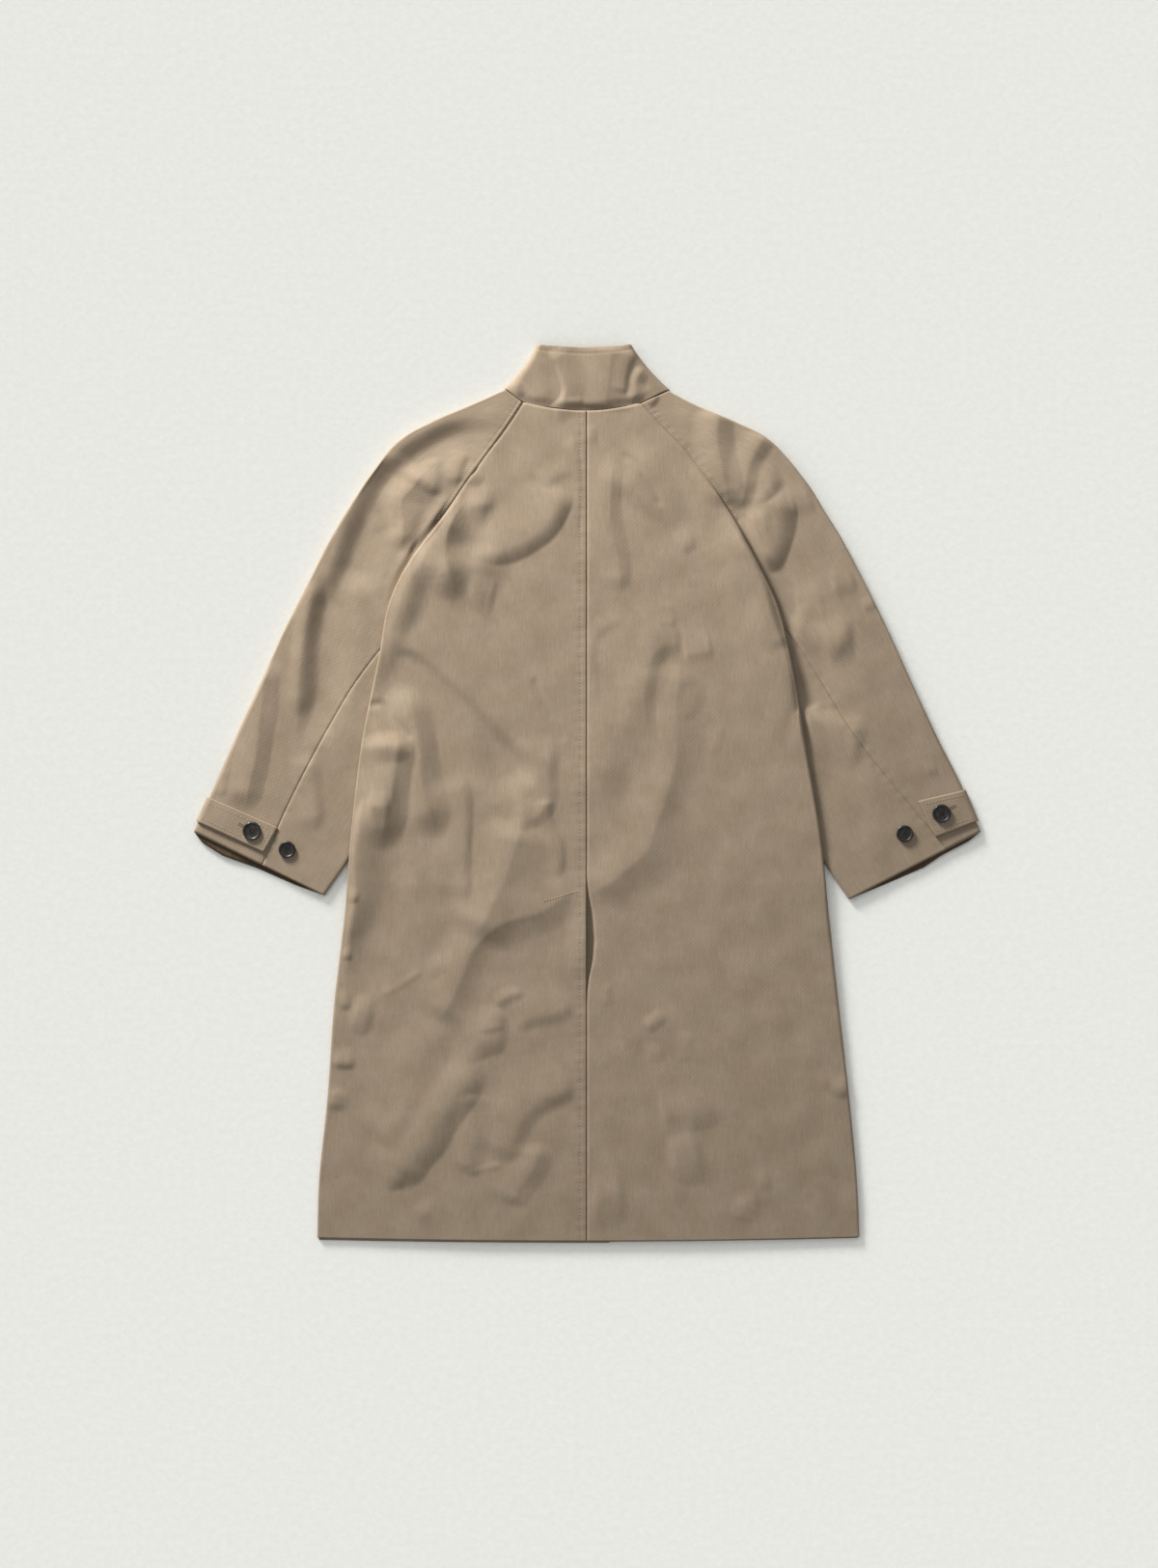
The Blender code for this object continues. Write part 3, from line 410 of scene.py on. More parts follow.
    (1.4, 36, 22, SOFT, SOFT, 10, 10, (298, 112), (262, 122)),
    (1.4, 32, 26, SOFT, SOFT, 10, 10, (312, 248), (270, 256)),
    (1.4, 29, 18, SOFT, SOFT, 9, 9, (352, 220), (318, 228)),
    (1.1, 14, 10, SOFT, SOFT, 7, 7, (374, 248), (354, 254)),
    (1.8, 43, 30, SOFT, SOFT, 14, 14, (350, 300), (302, 310)),
    (3.2, 44, 34, SOFT, SOFT, 22, 20, (346, 296), (306, 290), (264, 276)),
    (-2.4, 30, 20, SOFT, SOFT, 16, 9, (256, 292), (272, 330), (285, 362), (294, 388)),
    (3.4, 24, 56, SOFT, SOFT, 22, 24, (366, 416), (330, 412), (290, 404), (262, 398)),
    (0.7, 14, 8, SOFT, SOFT, 5, 5, (454, 464), (438, 470)),
    # Collar
    (2.6, 9, 30, SOFT, SOFT, 15, 15, (-46, -80), (-36, -66), (-30, -46), (-27, -24), (-33, -11),
     (-50, -4)),
    (3.4, 54, 36, SOFT, FLAT, 14, 9, (34, -86), (30, -50), (27, 2)),
    (1.4, 20, 10, SOFT, SOFT, 10, 10, (60, -76), (52, -50), (48, -18)),
    (2.6, 12, 12, SOFT, FLAT, 12, 12, (78, -58), (68, -38), (66, -24), (60, -8)),
    (2.1, 29, 8, SOFT, SOFT, 14, 14, (96, -30), (84, -14), (74, -6)),
    (1.6, 9, 9, SOFT, SOFT, 10, 10, (-92, -40), (-88, -28), (-86, -16)),
    (0.8, 30, 18, SOFT, SOFT, 14, 14, (-60, -74), (-62, -44), (-56, -12)),
    (0.8, 9, 7, SOFT, FOOT, 10, 10, (0, -12), (-18, -10), (-38, -8)),
)

# Slow unevenness of cloth that has lain folded. Columns: each wave's length across and down,
# where it starts, and its height
SLOW_WAVES = (
    (62, 190, 0.4, 0.10), (88, -150, 1.9, 0.14), (47, 310, 3.1, 0.08), (130, 74, 5.0, 0.16),
    (-71, 96, 2.2, 0.10), (38, -420, 4.1, 0.06),
)

# How far creases wander from their lines: waves in x, then waves down. Columns as above, with the
# reach in place of the height
WANDER = (
    ((190, 150, 0.7, 2.4), (-110, 83, 2.9, 0.8)),
    ((140, 230, 1.3, 2.4), (96, -120, 3.6, 0.8)),
)


def smooth_step(low, high, value):
    share = np.clip((value - low) / (high - low), 0, 1)
    return share * share * (3 - 2 * share)


def mix(first, last, share):
    return first + (last - first) * share


def through(places, values, at):
    """A smooth curve through a table's rows."""
    slopes = np.gradient(values, places)
    row = np.clip(np.searchsorted(places, at) - 1, 0, len(places) - 2)
    span = places[row + 1] - places[row]
    t = (at - places[row]) / span
    t2 = t * t
    t3 = t2 * t
    inside = (
        (2 * t3 - 3 * t2 + 1) * values[row]
        + (t3 - 2 * t2 + t) * span * slopes[row]
        + (3 * t2 - 2 * t3) * values[row + 1]
        + (t3 - t2) * span * slopes[row + 1]
    )
    past = values[row + 1] + (t - 1) * span * slopes[row + 1]
    return np.where(t > 1, past, inside)


def columns_through(places, table, columns, at):
    """Several columns of a table at once, each as a smooth curve."""
    return [through(places, table[:, column], at) for column in columns]


def crease_slope(share, shape):
    """A crease's height from 1 on its line to 0 at its foot, steeper at either by its shape."""
    crest, foot = shape
    t = np.clip(share, 0, 1)
    return 1 - t * t * (3 - 2 * t) - crest * t * (1 - t) ** 2 + foot * t * t * (1 - t)


def relief(x, down):
    """What creases and slow waves add to the height of the cloth that shows."""
    x, down = np.broadcast_arrays(x, down)
    total = waves(SLOW_WAVES, x, down)
    wander_x, wander_down = (waves(table, x, down) for table in WANDER)
    for crease in CREASES:
        add_crease(total, x + wander_x, down + wander_down, crease)
    return total


def waves(table, x, down):
    """Slow waves that run across one another, added up."""
    total = np.zeros(x.shape)
    for across, along, start, height in table:
        total += height * np.sin(2 * math.pi * (x / across + down / along) + start)
    return total


def add_crease(total, x, down, crease):
    """Adds one crease's height near its line."""
    height, lit, shaded, lit_shape, shaded_shape, start, end, *line = crease
    line = np.array(line, float)
    reach = max(lit, shaded)
    low, high = line.min(axis=0) - reach, line.max(axis=0) + reach
    near = (x > low[0]) & (x < high[0]) & (down > low[1]) & (down < high[1])
    if not near.any():
        return
    aside, along, length = along_line(line, x[near], down[near])
    from_end = np.maximum(1 - along / start, 1 - (length - along) / end).clip(0)
    narrower = np.sqrt(1.0001 - from_end**2)
    share = np.abs(aside) / np.where(aside < 0, lit, shaded) / narrower
    slope = np.where(aside < 0, crease_slope(share, lit_shape), crease_slope(share, shaded_shape))
    total[near] += height * slope * crease_slope(from_end, SOFT)


def along_line(line, x, down):
    """How far points lie to the shaded side of a smooth line and how far along it, and its length."""
    places = np.concatenate([[0], np.cumsum(np.hypot(*np.diff(line, axis=0).T))])
    at = np.linspace(0, places[-1], 4 * (len(line) - 1) + 1)
    line_x, line_down = columns_through(places, line, (0, 1), at)
    nearest = np.full(x.shape, np.inf)
    aside = np.zeros(x.shape)
    along = np.zeros(x.shape)
    passed = 0
    for i in range(len(at) - 1):
        run = math.hypot(line_x[i + 1] - line_x[i], line_down[i + 1] - line_down[i])
        run_x, run_down = (line_x[i + 1] - line_x[i]) / run, (line_down[i + 1] - line_down[i]) / run
        off_x, off_down = x - line_x[i], down - line_down[i]
        on = np.clip(off_x * run_x + off_down * run_down, 0, run)
        apart = np.hypot(off_x - on * run_x, off_down - on * run_down)
        nearer = apart < nearest
        nearest = np.where(nearer, apart, nearest)
        side = np.where(off_x * run_down - off_down * run_x < 0, -1, 1)
        aside = np.where(nearer, side * apart, aside)
        along = np.where(nearer, passed + on, along)
        passed += run
    return aside, along, passed


def groove(distance, depth, width):
    return -depth * np.exp(-((distance / width) ** 2))


def puckers(along, distance, reach):
    """Small even puckers that the stitching draws in beside a seam."""
    wave = np.sin(along / 1.9) + 0.6 * np.sin(along / 3.1 + 1)
    return 0.13 * wave * np.exp(-((distance / reach) ** 2))


def side_edge(side, down):
    """How far out the body's side edge lies at a height on the coat."""
    table = BACK_EDGE[side]
    return np.interp(down, table[:, 2], table[:, 1])


def back_height(side, out, down):
    """The middle of the back wall above the floor."""
    share = smooth_step(EDGE_HEIGHT_STARTS, 1, out / side_edge(side, down))
    centre = np.interp(down, BACK_HEIGHT[:, 0], BACK_HEIGHT[:, 1])
    edge = np.interp(down, BACK_HEIGHT[:, 0], BACK_HEIGHT[:, 2])
    if side == LEFT:
        edge = edge - LEFT_EDGE_LOWER * smooth_step(FOLD_STARTS, FOLD_FULL, down)
    calm = 1 - CALM_HEM * smooth_step(CALM_STARTS, HEM, down)
    height = mix(centre, edge, share) + relief(side * out, down) * calm
    # The back never sinks into the front or the sleeve under it
    over_sleeve = smooth_step(*OVER_SLEEVE_OUT, out) * smooth_step(*OVER_SLEEVE_STARTS, down)
    over_sleeve = over_sleeve * (1 - smooth_step(*OVER_SLEEVE_ENDS, down))
    lowest = mix(OVER_FRONT + 1, OVER_TUCKED, over_sleeve)
    return lowest + np.logaddexp(0, height - lowest)


def in_frame(side, out, down, height):
    """Points of the frame, in metres."""
    x = CENTRE_BACK_X + side * out
    return np.stack([x, NECK_POINT_Y - down, height], axis=-1) * MM


def back_place(side, across, down_centre):
    """The back wall: across runs from the centre (0) over the seam's band (0.1) to the edge (1)
    and on round the turned edge (2). On the right, across below 0 is what the left back and the
    vent lap over."""
    table = BACK_EDGE[side]
    edge_out, edge_down = columns_through(table[:, 0], table, (1, 2), down_centre)
    turned = smooth_step(FOLD_STARTS, FOLD_FULL, down_centre)
    on_sleeve = 1 - smooth_step(SLEEVE_LEAVES, FRONT_REACHED, down_centre)
    edge_height = back_height(side, edge_out, edge_down)
    drop = edge_height - mix(OVER_FRONT, OVER_SLEEVE, on_sleeve)
    angle = np.maximum(ROLL_ANGLE * turned, 0.01)
    rolled = drop * ROLL_ANGLE / (1 - math.cos(ROLL_ANGLE))
    rolled = mix(ROLL_OPEN_WIDTH, rolled, turned)
    radius = rolled / angle
    start = edge_out - radius * np.sin(np.minimum(angle, math.pi / 2))
    start = start - SEAM_GAP / 2 * (1 - turned)
    band = mix(SEAM_GAP / 2, CENTRE_BAND, np.clip(across / CENTRE_BAND_SHARE, 0, 1))
    past_band = np.clip((across - CENTRE_BAND_SHARE) / (1 - CENTRE_BAND_SHARE), 0, 1)
    out = np.where(across < CENTRE_BAND_SHARE, band, mix(CENTRE_BAND, start, past_band))
    down = mix(down_centre, edge_down, (out / start) ** 2)
    on_roll = angle * np.clip(across - 1, 0, 1)
    out = np.where(across > 1, start + radius * np.sin(on_roll), out)
    height = back_height(side, np.minimum(out, start), down)
    height = height - radius * (1 - np.cos(on_roll))
    from_raglan = np.abs(edge_out - out) * RAGLAN_SLANT
    height = height + groove(from_raglan, SEAM_DEPTH, SEAM_GROOVE) * (1 - turned)
    if side == LEFT:
        height = height + groove(out - CENTRE_STITCH, CENTRE_STITCH_DEPTH, STITCH_GROOVE)
        lifted = np.interp(down_centre, VENT_GAPE[:, 0], VENT_GAPE[:, 3])
        height = height + lifted * (1 - smooth_step(0, VENT_LIP, out))
        height = height + groove(out, 0.2, 2.2)
        height = height + puckers(down, out - CENTRE_STITCH, 7)
    if side == RIGHT:
        lap = np.where(down_centre < VENT_TOP - 1, SEAM_LAP, VENT_LAP)
        out = np.where(across < 0, lap * across, out)
        open_by = np.interp(down_centre, VENT_GAPE[:, 0], VENT_GAPE[:, 1])
        deeper = np.interp(down_centre, VENT_GAPE[:, 0], VENT_GAPE[:, 2])
        foot = mix(0, open_by, smooth_step(0, 2, open_by))
        slope = mix(SEAM_SLOPE, VENT_SLOPE, smooth_step(0, 6, open_by))
        height = height - (SEAM_STEP + deeper) * (1 - smooth_step(foot, foot + slope, out))
    return in_frame(side, out, down, height)


def front_place(side, across, down_centre):
    """The front wall, on the floor: across runs from the lapped edge (0) over the lap (1) and
    down beside it (2) to the side (3)."""
    edge_out, edge_down = front_edge(side, down_centre)
    set_back = smooth_step(FOLD_STARTS, FOLD_FULL, down_centre)
    edge_out = edge_out - mix(SEAM_GAP, FRONT_SET_BACK, set_back)
    drop = FRONT_HEM_DROP[side] * smooth_step(1000, HEM, down_centre)
    beside = FRONT_LAP + FRONT_LAP_TURN
    out = mix(-FRONT_LAP, beside, np.clip(across, 0, 1))
    out = np.where(across > 1, mix(beside, beside + FRONT_LAP_RISE, across - 1), out)
    out = np.where(across > 2, mix(beside + FRONT_LAP_RISE, edge_out, across - 2), out)
    down = mix(down_centre, edge_down, np.clip(out / edge_out, 0, 1) ** 2) + drop
    height = np.full_like(out, FLOOR_WALL)
    if side == RIGHT:
        over = 1 - smooth_step(1, 2, across)
        height = mix(FLOOR_WALL, OVER_FRONT, over)
    return in_frame(side, out, down, height)


def front_edge(side, down_centre):
    """The front's raglan seam and side, out and down."""
    table = BACK_EDGE[side]
    rows = np.concatenate([FRONT_RAGLAN[side], table[table[:, 0] >= FOLD_STARTS]])
    return columns_through(rows[:, 0], rows, (1, 2), down_centre)


def sleeve_columns(side, row, upper):
    """Outer point and inner point of a sleeve section, on its upper or lower wall."""
    outer_out, outer_down = columns_through(SLEEVE_ROWS, SLEEVE[side], (0, 1), row)
    table = BACK_EDGE[side]
    seam_rows = np.arange(UNDERARM_ROW + 1)
    seam = np.clip(row, 0, UNDERARM_ROW)
    back_at = np.interp(seam, seam_rows, table[: UNDERARM_ROW + 1, 0])
    front_at = np.interp(seam, seam_rows, [*FRONT_RAGLAN[side][:, 0], FOLD_STARTS])
    back_out, back_down = columns_through(table[:, 0], table, (1, 2), back_at)
    front_out, front_down = front_edge(side, front_at)
    folded = np.maximum(row, UNDERARM_ROW)
    fold_out, fold_down = columns_through(SLEEVE_ROWS[UNDERARM_ROW:], INNER_FOLD[side], (0, 1), folded)
    inner_out = np.where(row > UNDERARM_ROW, fold_out, np.where(upper, back_out, front_out))
    inner_down = np.where(row > UNDERARM_ROW, fold_down, np.where(upper, back_down, front_down))
    return outer_out, outer_down, inner_out, inner_down


def back_sleeve_seam(side, row):
    """The share of the sleeve's width at which its back seam lies."""
    return np.clip(through(SLEEVE_ROWS, SLEEVE[side][:, 2], row), 0, 1)


def sleeve_place(side, row, share, lift):
    """The sleeve's wall. share runs from the outer fold (0) to the raglan seam or inner fold
    (1), and lift is 1 on the upper wall, -1 on the lower wall and 0 on a fold."""
    outer_out, outer_down, inner_out, inner_down = sleeve_columns(side, row, lift > 0)
    width = np.hypot(inner_out - outer_out, inner_down - outer_down)
    butted = 1 - smooth_step(4, 4.6, row)
    inner_out = inner_out + SEAM_GAP / 2 * butted
    out = mix(outer_out, inner_out, share)
    down = mix(outer_down, inner_down, share)
    own = through(SLEEVE_ROWS, SLEEVE[side][:, 3], row)
    raised = relief(side * out, down) * smooth_step(*CREASES_FROM_FOLD, share * width)
    joined = smooth_step(JOINS_BACK_SHARE, 1, share) * (1 - smooth_step(*LEAVES_BACK, row))
    top = mix(own + raised, back_height(side, out, down), joined)
    past_edge = out - side_edge(side, down)
    beside_body = 1 - smooth_step(SLEEVE_LEAVES, TUCK_ENDS, down)
    covered = 1 - smooth_step(*UPPER_WALL_RISE[side], past_edge)
    covered = covered * smooth_step(UPPER_WALL_TUCKS, TUCK_FULL, down) * beside_body
    top = mix(top, TUCKED_SLEEVE + raised * smooth_step(*CREASES_FROM_BODY, past_edge), covered)
    top = top + sleeve_seams(side, row, share, width)
    on_front = 1 - smooth_step(*LOWER_WALL_SINK, past_edge)
    on_front = on_front * smooth_step(LOWER_WALL_TUCKS, TUCK_FULL, down) * beside_body
    on_strap = smooth_step(*STRAP_LIFT_ROWS, row) * (1 - smooth_step(*STRAP_LIFT_SHARES, share))
    bottom = FLOOR_WALL + (OVER_FRONT - FLOOR_WALL) * on_front
    bottom = bottom + (STRAP_CLOTH + LAYER_GAP) * on_strap
    height = (top + bottom) / 2 + (top - bottom) / 2 * lift
    return out, down, height


def sleeve_seams(side, row, share, width):
    """The grooves and welts along the raglan seam and the back sleeve seam."""
    from_raglan = (1 - share) * width
    raglan = 1 - smooth_step(*RAGLAN_ENDS, row)
    total = groove(from_raglan, SEAM_DEPTH, SEAM_GROOVE)
    total = total + groove(from_raglan - RAGLAN_STITCH, STITCH_DEPTH, STITCH_GROOVE)
    total = total + WELT * smooth_step(RAGLAN_STITCH + 2, RAGLAN_STITCH - 1, from_raglan)
    total = total + puckers(row * ROW_LENGTH, from_raglan - RAGLAN_STITCH, 6)
    if side == RIGHT:
        step = RAGLAN_STEP * smooth_step(*RAGLAN_STEP_ROWS, row)
        total = total - step * (1 - smooth_step(0, RAGLAN_STEP_WIDTH, from_raglan))
    from_seam = (share - back_sleeve_seam(side, row)) * width
    back_seam = smooth_step(SEAM_STARTS, SEAM_STARTS + 0.4, row)
    seam = groove(from_seam, 0.9, 1.5) + puckers(row * ROW_LENGTH, from_seam, 7)
    return total * raglan + seam * back_seam


def sleeve_width(side, row, upper):
    outer_out, outer_down, inner_out, inner_down = sleeve_columns(side, row, upper)
    return np.hypot(inner_out - outer_out, inner_down - outer_down)


def cuff_row(side, row, share, lift):
    """Runs the lower wall's last rows on past the upper wall's cuff edge."""
    reach = np.interp(share, CUFF_REACH[side][:, 0], CUFF_REACH[side][:, 1])
    further = reach / LAST_ROW_LENGTH * smooth_step(LAST_ROW - 2, LAST_ROW, row)
    return row + further * np.clip(-lift, 0, 1)


def upper_sleeve_place(side, round_it, row):
    """The upper sleeve: round_it runs from the front sleeve seam (-1) by the outer fold (0) to
    the raglan seam or the back sleeve seam (1)."""
    seam = back_sleeve_seam(side, row)
    underarm = smooth_step(SEAM_STARTS - 0.6, SEAM_STARTS + 0.4, row)
    front_seam = mix(1.0, FRONT_SLEEVE_SEAM, underarm)
    side_share = np.abs(round_it)
    width = sleeve_width(side, row, round_it > 0)
    roll = mix(OUTER_ROLL, SLEEVE_ROLL, smooth_step(*OUTER_ROLL_OPENS, row)) / width
    angle = np.clip(side_share / OUTER_ROLL_SHARE, 0, 1) * math.pi / 2
    flat = np.clip((side_share - OUTER_ROLL_SHARE) / (1 - OUTER_ROLL_SHARE), 0, 1)
    end = np.where(round_it > 0, seam, front_seam) - SEAM_GAP / 2 / width * underarm
    share = np.where(side_share < OUTER_ROLL_SHARE, roll * (1 - np.cos(angle)), mix(roll, end, flat))
    lift = np.sign(round_it) * np.sin(angle)
    row = cuff_row(side, row, share, lift)
    return in_frame(side, *sleeve_place(side, row, share, lift))


def under_sleeve_place(side, round_it, row):
    """The under sleeve: round_it runs from the front sleeve seam (-1) by the inner fold (0) to
    the back sleeve seam (1)."""
    seam = back_sleeve_seam(side, row)
    side_share = np.abs(round_it)
    width = sleeve_width(side, row, round_it > 0)
    roll = mix(INNER_ROLL, SLEEVE_ROLL, smooth_step(*INNER_ROLL_OPENS, row)) / width
    angle = np.clip(side_share / INNER_ROLL_SHARE, 0, 1) * math.pi / 2
    flat = np.clip((side_share - INNER_ROLL_SHARE) / (1 - INNER_ROLL_SHARE), 0, 1)
    end = np.where(round_it > 0, seam, FRONT_SLEEVE_SEAM) + SEAM_GAP / 2 / width
    rolled = 1 - roll * (1 - np.cos(angle))
    share = np.where(side_share < INNER_ROLL_SHARE, rolled, mix(1 - roll, end, flat))
    lift = np.sign(round_it) * np.sin(angle)
    row = cuff_row(side, row, share, lift)
    return in_frame(side, *sleeve_place(side, row, share, lift))


def collar_place(round_it, up):
    """The collar: round_it as in its table, up from the neck seam (0) to the upper edge (1)."""
    base_x, base_down, top_x, top_down = columns_through(COLLAR[:, 0], COLLAR, (1, 2, 3, 4), round_it)
    x = mix(base_x, top_x, up)
    down = mix(base_down, top_down, up)
    near_fold = np.clip(1 - np.abs(np.abs(round_it) - COLLAR_FOLD) / COLLAR_BOW_REACH, 0, 1)
    x = x - np.sign(round_it) * COLLAR_BOW * 4 * up * (1 - up) * near_fold
    lift = np.sin(np.clip((COLLAR_FOLD - np.abs(round_it)) / COLLAR_TURN, -1, 1) * math.pi / 2)
    top = mix(COLLAR_BASE_HEIGHT, COLLAR_TOP_HEIGHT, up) + relief(x, down)
    seam = 1 - smooth_step(0, COLLAR_SEAM_WIDTH, up)
    top = top - COLLAR_SINKS * seam * smooth_step(COLLAR_FOLD, 0.36, np.abs(round_it))
    top = top + groove((up - COLLAR_STITCH) * COLLAR_HEIGHT, STITCH_DEPTH, STITCH_GROOVE)
    bottom = COLLAR_CLOTH / 2
    height = (top + bottom) / 2 + (top - bottom) / 2 * lift
    return in_frame(1, x, down, height)


def strap_place(side, across, between):
    """A cuff strap, on the sleeve's upper wall and round its outer fold."""
    table = STRAP[side]
    share = mix(table[0, 0], table[-1, 0], across)
    upper = np.interp(share, table[:, 0], table[:, 1])
    lower = np.interp(share, table[:, 0], table[:, 2])
    row = mix(upper, lower, between)
    return on_sleeve(side, row, share, CLOTH / 2 + LAYER_GAP + STRAP_CLOTH / 2)


def on_sleeve(side, row, share, away):
    """A point of the sleeve's upper wall, moved out along the wall's normal."""

    def at(row, share):
        width = sleeve_width(side, row, share > 0)
        distance = np.abs(share) * width
        angle = np.arccos(np.clip(1 - distance / SLEEVE_ROLL, 0, 1))
        lift = np.sign(share) * np.sin(angle)
        return in_frame(side, *sleeve_place(side, row, np.abs(share), lift))

    step = 0.01
    along = at(row + step, share) - at(row - step, share)
    across = at(row, share + step) - at(row, share - step)
    normal = np.cross(across, along) * side
    normal = normal / np.linalg.norm(normal, axis=-1, keepdims=True)
    return at(row, share) + normal * away * MM


def linear(hex_colour):
    """An sRGB hex colour as linear red, green, blue and alpha."""
    channels = [int(hex_colour[i : i + 2], 16) / 255 for i in (1, 3, 5)]
    return (*[c / 12.92 if c <= 0.04045 else ((c + 0.055) / 1.055) ** 2.4 for c in channels], 1)


def add_node(tree, kind, settings=None, **inputs):
    """A node with its settings, and its inputs set to values or linked to other nodes'
    outputs."""
    node = tree.nodes.new(kind)
    for name, value in (settings or {}).items():
        setattr(node, name, value)
    for name, value in inputs.items():
        socket = node.inputs[int(name[1:])] if name[0] == "_" else node.inputs[name.replace("_", " ")]
        if isinstance(value, bpy.types.NodeSocket):
            tree.links.new(value, socket)
        else:
            socket.default_value = value
    return node


def new_material(name, roughness, **shader_values):
    """A material, its tree and its shader, with the values that are the same all over it."""
    made = bpy.data.materials.new(name)
    made.use_nodes = True
    shader = made.node_tree.nodes["Principled BSDF"]
    shader.inputs["Roughness"].default_value = roughness
    for socket, value in shader_values.items():
        shader.inputs[socket.replace("_", " ")].default_value = value
    return made, made.node_tree, shader


def colour_ramp(tree, factor, *stops):
    """A ramp from one hex colour to the next."""
    ramp = add_node(tree, "ShaderNodeValToRGB", _0=factor)
    while len(ramp.color_ramp.elements) < len(stops):
        ramp.color_ramp.elements.new(0.5)
    for element, (place, colour) in zip(ramp.color_ramp.elements, stops):
        element.position = place
        element.color = linear(colour)
    return ramp.outputs["Color"]


def cotton_gabardine():
    """Woven cotton, piece dyed taupe: a matt, dense twill whose uneven yarns show as fine
    streaks along the grain, with a faint bloom at a low angle."""
    made, tree, shader = new_material(
        "cotton_gabardine", 0.82, Sheen_Weight=0.06, Sheen_Roughness=0.45, Specular_IOR_Level=0.25,
    )
    place = add_node(tree, "ShaderNodeUVMap", {"uv_map": "cloth"}).outputs["UV"]
    # A yarn is 0.4 mm wide, too fine to show here, so slubs are drawn 2 mm wide and 20 mm long
    slub_place = add_node(tree, "ShaderNodeMapping", _0=place, Scale=(480, 42, 1))
    slubs = add_node(
        tree, "ShaderNodeTexNoise", Vector=slub_place.outputs[0], Scale=1.0, Detail=3.0, Roughness=0.6
    )
    fine_place = add_node(tree, "ShaderNodeMapping", _0=place, Scale=(900, 170, 1))
    fine = add_node(
        tree, "ShaderNodeTexNoise", Vector=fine_place.outputs[0], Scale=1.0, Detail=2.0, Roughness=0.6
    )
    # Cloth that has been worn and pressed is uneven over 40 mm or so
    wear = add_node(tree, "ShaderNodeTexNoise", Vector=place, Scale=26.0, Detail=4.0, Roughness=0.6)
    streaks = add_node(
        tree, "ShaderNodeMix", {"data_type": "FLOAT"}, Factor=0.4,
        _2=slubs.outputs[0], _3=fine.outputs[0],
    )
    yarn = colour_ramp(tree, streaks.outputs[0], (0.3, "#95846f"), (0.5, "#9d8c78"), (0.7, "#a4947f"))
    bloom = colour_ramp(tree, wear.outputs[0], (0.35, "#f2efeb"), (0.65, "#ffffff"))
    colour = add_node(
        tree, "ShaderNodeMix", {"data_type": "RGBA", "blend_type": "MULTIPLY"}, _0=1.0,
        _6=yarn, _7=bloom,
    )
    tree.links.new(colour.outputs[2], shader.inputs["Base Color"])
    # The twill's ribs stand 0.1 mm proud and lie 0.6 mm apart; they are drawn 4 mm apart
    ribs = add_node(
        tree, "ShaderNodeTexWave", {"bands_direction": "DIAGONAL"}, Vector=place, Scale=110.0,
        Distortion=0.6, Detail=1.0,
    )
    rib_bump = add_node(tree, "ShaderNodeBump", Strength=0.25, Distance=0.0001, Height=ribs.outputs[1])
    slub_bump = add_node(
        tree, "ShaderNodeBump", Strength=0.55, Distance=0.00035, Height=streaks.outputs[0],
        Normal=rib_bump.outputs[0],
    )
    wear_bump = add_node(
        tree, "ShaderNodeBump", Strength=0.3, Distance=0.0008, Height=wear.outputs[0],
        Normal=slub_bump.outputs[0],
    )
    tree.links.new(wear_bump.outputs[0], shader.inputs["Normal"])
    return made


def cotton_wrong_side_and_painted_shade():
    """The cloth's wrong side and bound edges, browner than the face and darkened as painted shade."""
    made, tree, shader = new_material("cotton_wrong_side_and_painted_shade", 0.9, Specular_IOR_Level=0.2)
    place = add_node(tree, "ShaderNodeUVMap", {"uv_map": "cloth"}).outputs["UV"]
    yarn_place = add_node(tree, "ShaderNodeMapping", _0=place, Scale=(480, 60, 1))
    yarns = add_node(tree, "ShaderNodeTexNoise", Vector=yarn_place.outputs[0], Scale=1.0, Detail=3.0)
    # Dark browns: partly the wrong side's own colour, partly painted shade for the slots where it shows
    colour = colour_ramp(tree, yarns.outputs[0], (0.3, "#4d3f30"), (0.7, "#63523f"))
    tree.links.new(colour, shader.inputs["Base Color"])
    bump = add_node(tree, "ShaderNodeBump", Strength=0.4, Distance=0.0003, Height=yarns.outputs[0])
    tree.links.new(bump.outputs[0], shader.inputs["Normal"])
    return made


def sewing_thread(name, dark, light):
    """Spun polyester thread, slightly glossier than the cloth, with its twist as fine ribs."""
    made, tree, shader = new_material(name, 0.55, Sheen_Weight=0.1)
    place = add_node(tree, "ShaderNodeTexCoord").outputs["Object"]
    # The twist turns every 0.5 mm and is drawn every 4 mm
    twist = add_node(
        tree, "ShaderNodeTexWave", {"bands_direction": "DIAGONAL"}, Vector=place, Scale=130.0,
        Distortion=1.0,
    )
    colour = colour_ramp(tree, twist.outputs[1], (0.2, dark), (0.8, light))
    tree.links.new(colour, shader.inputs["Base Color"])
    bump = add_node(tree, "ShaderNodeBump", Strength=0.3, Distance=0.0001, Height=twist.outputs[1])
    tree.links.new(bump.outputs[0], shader.inputs["Normal"])
    return made


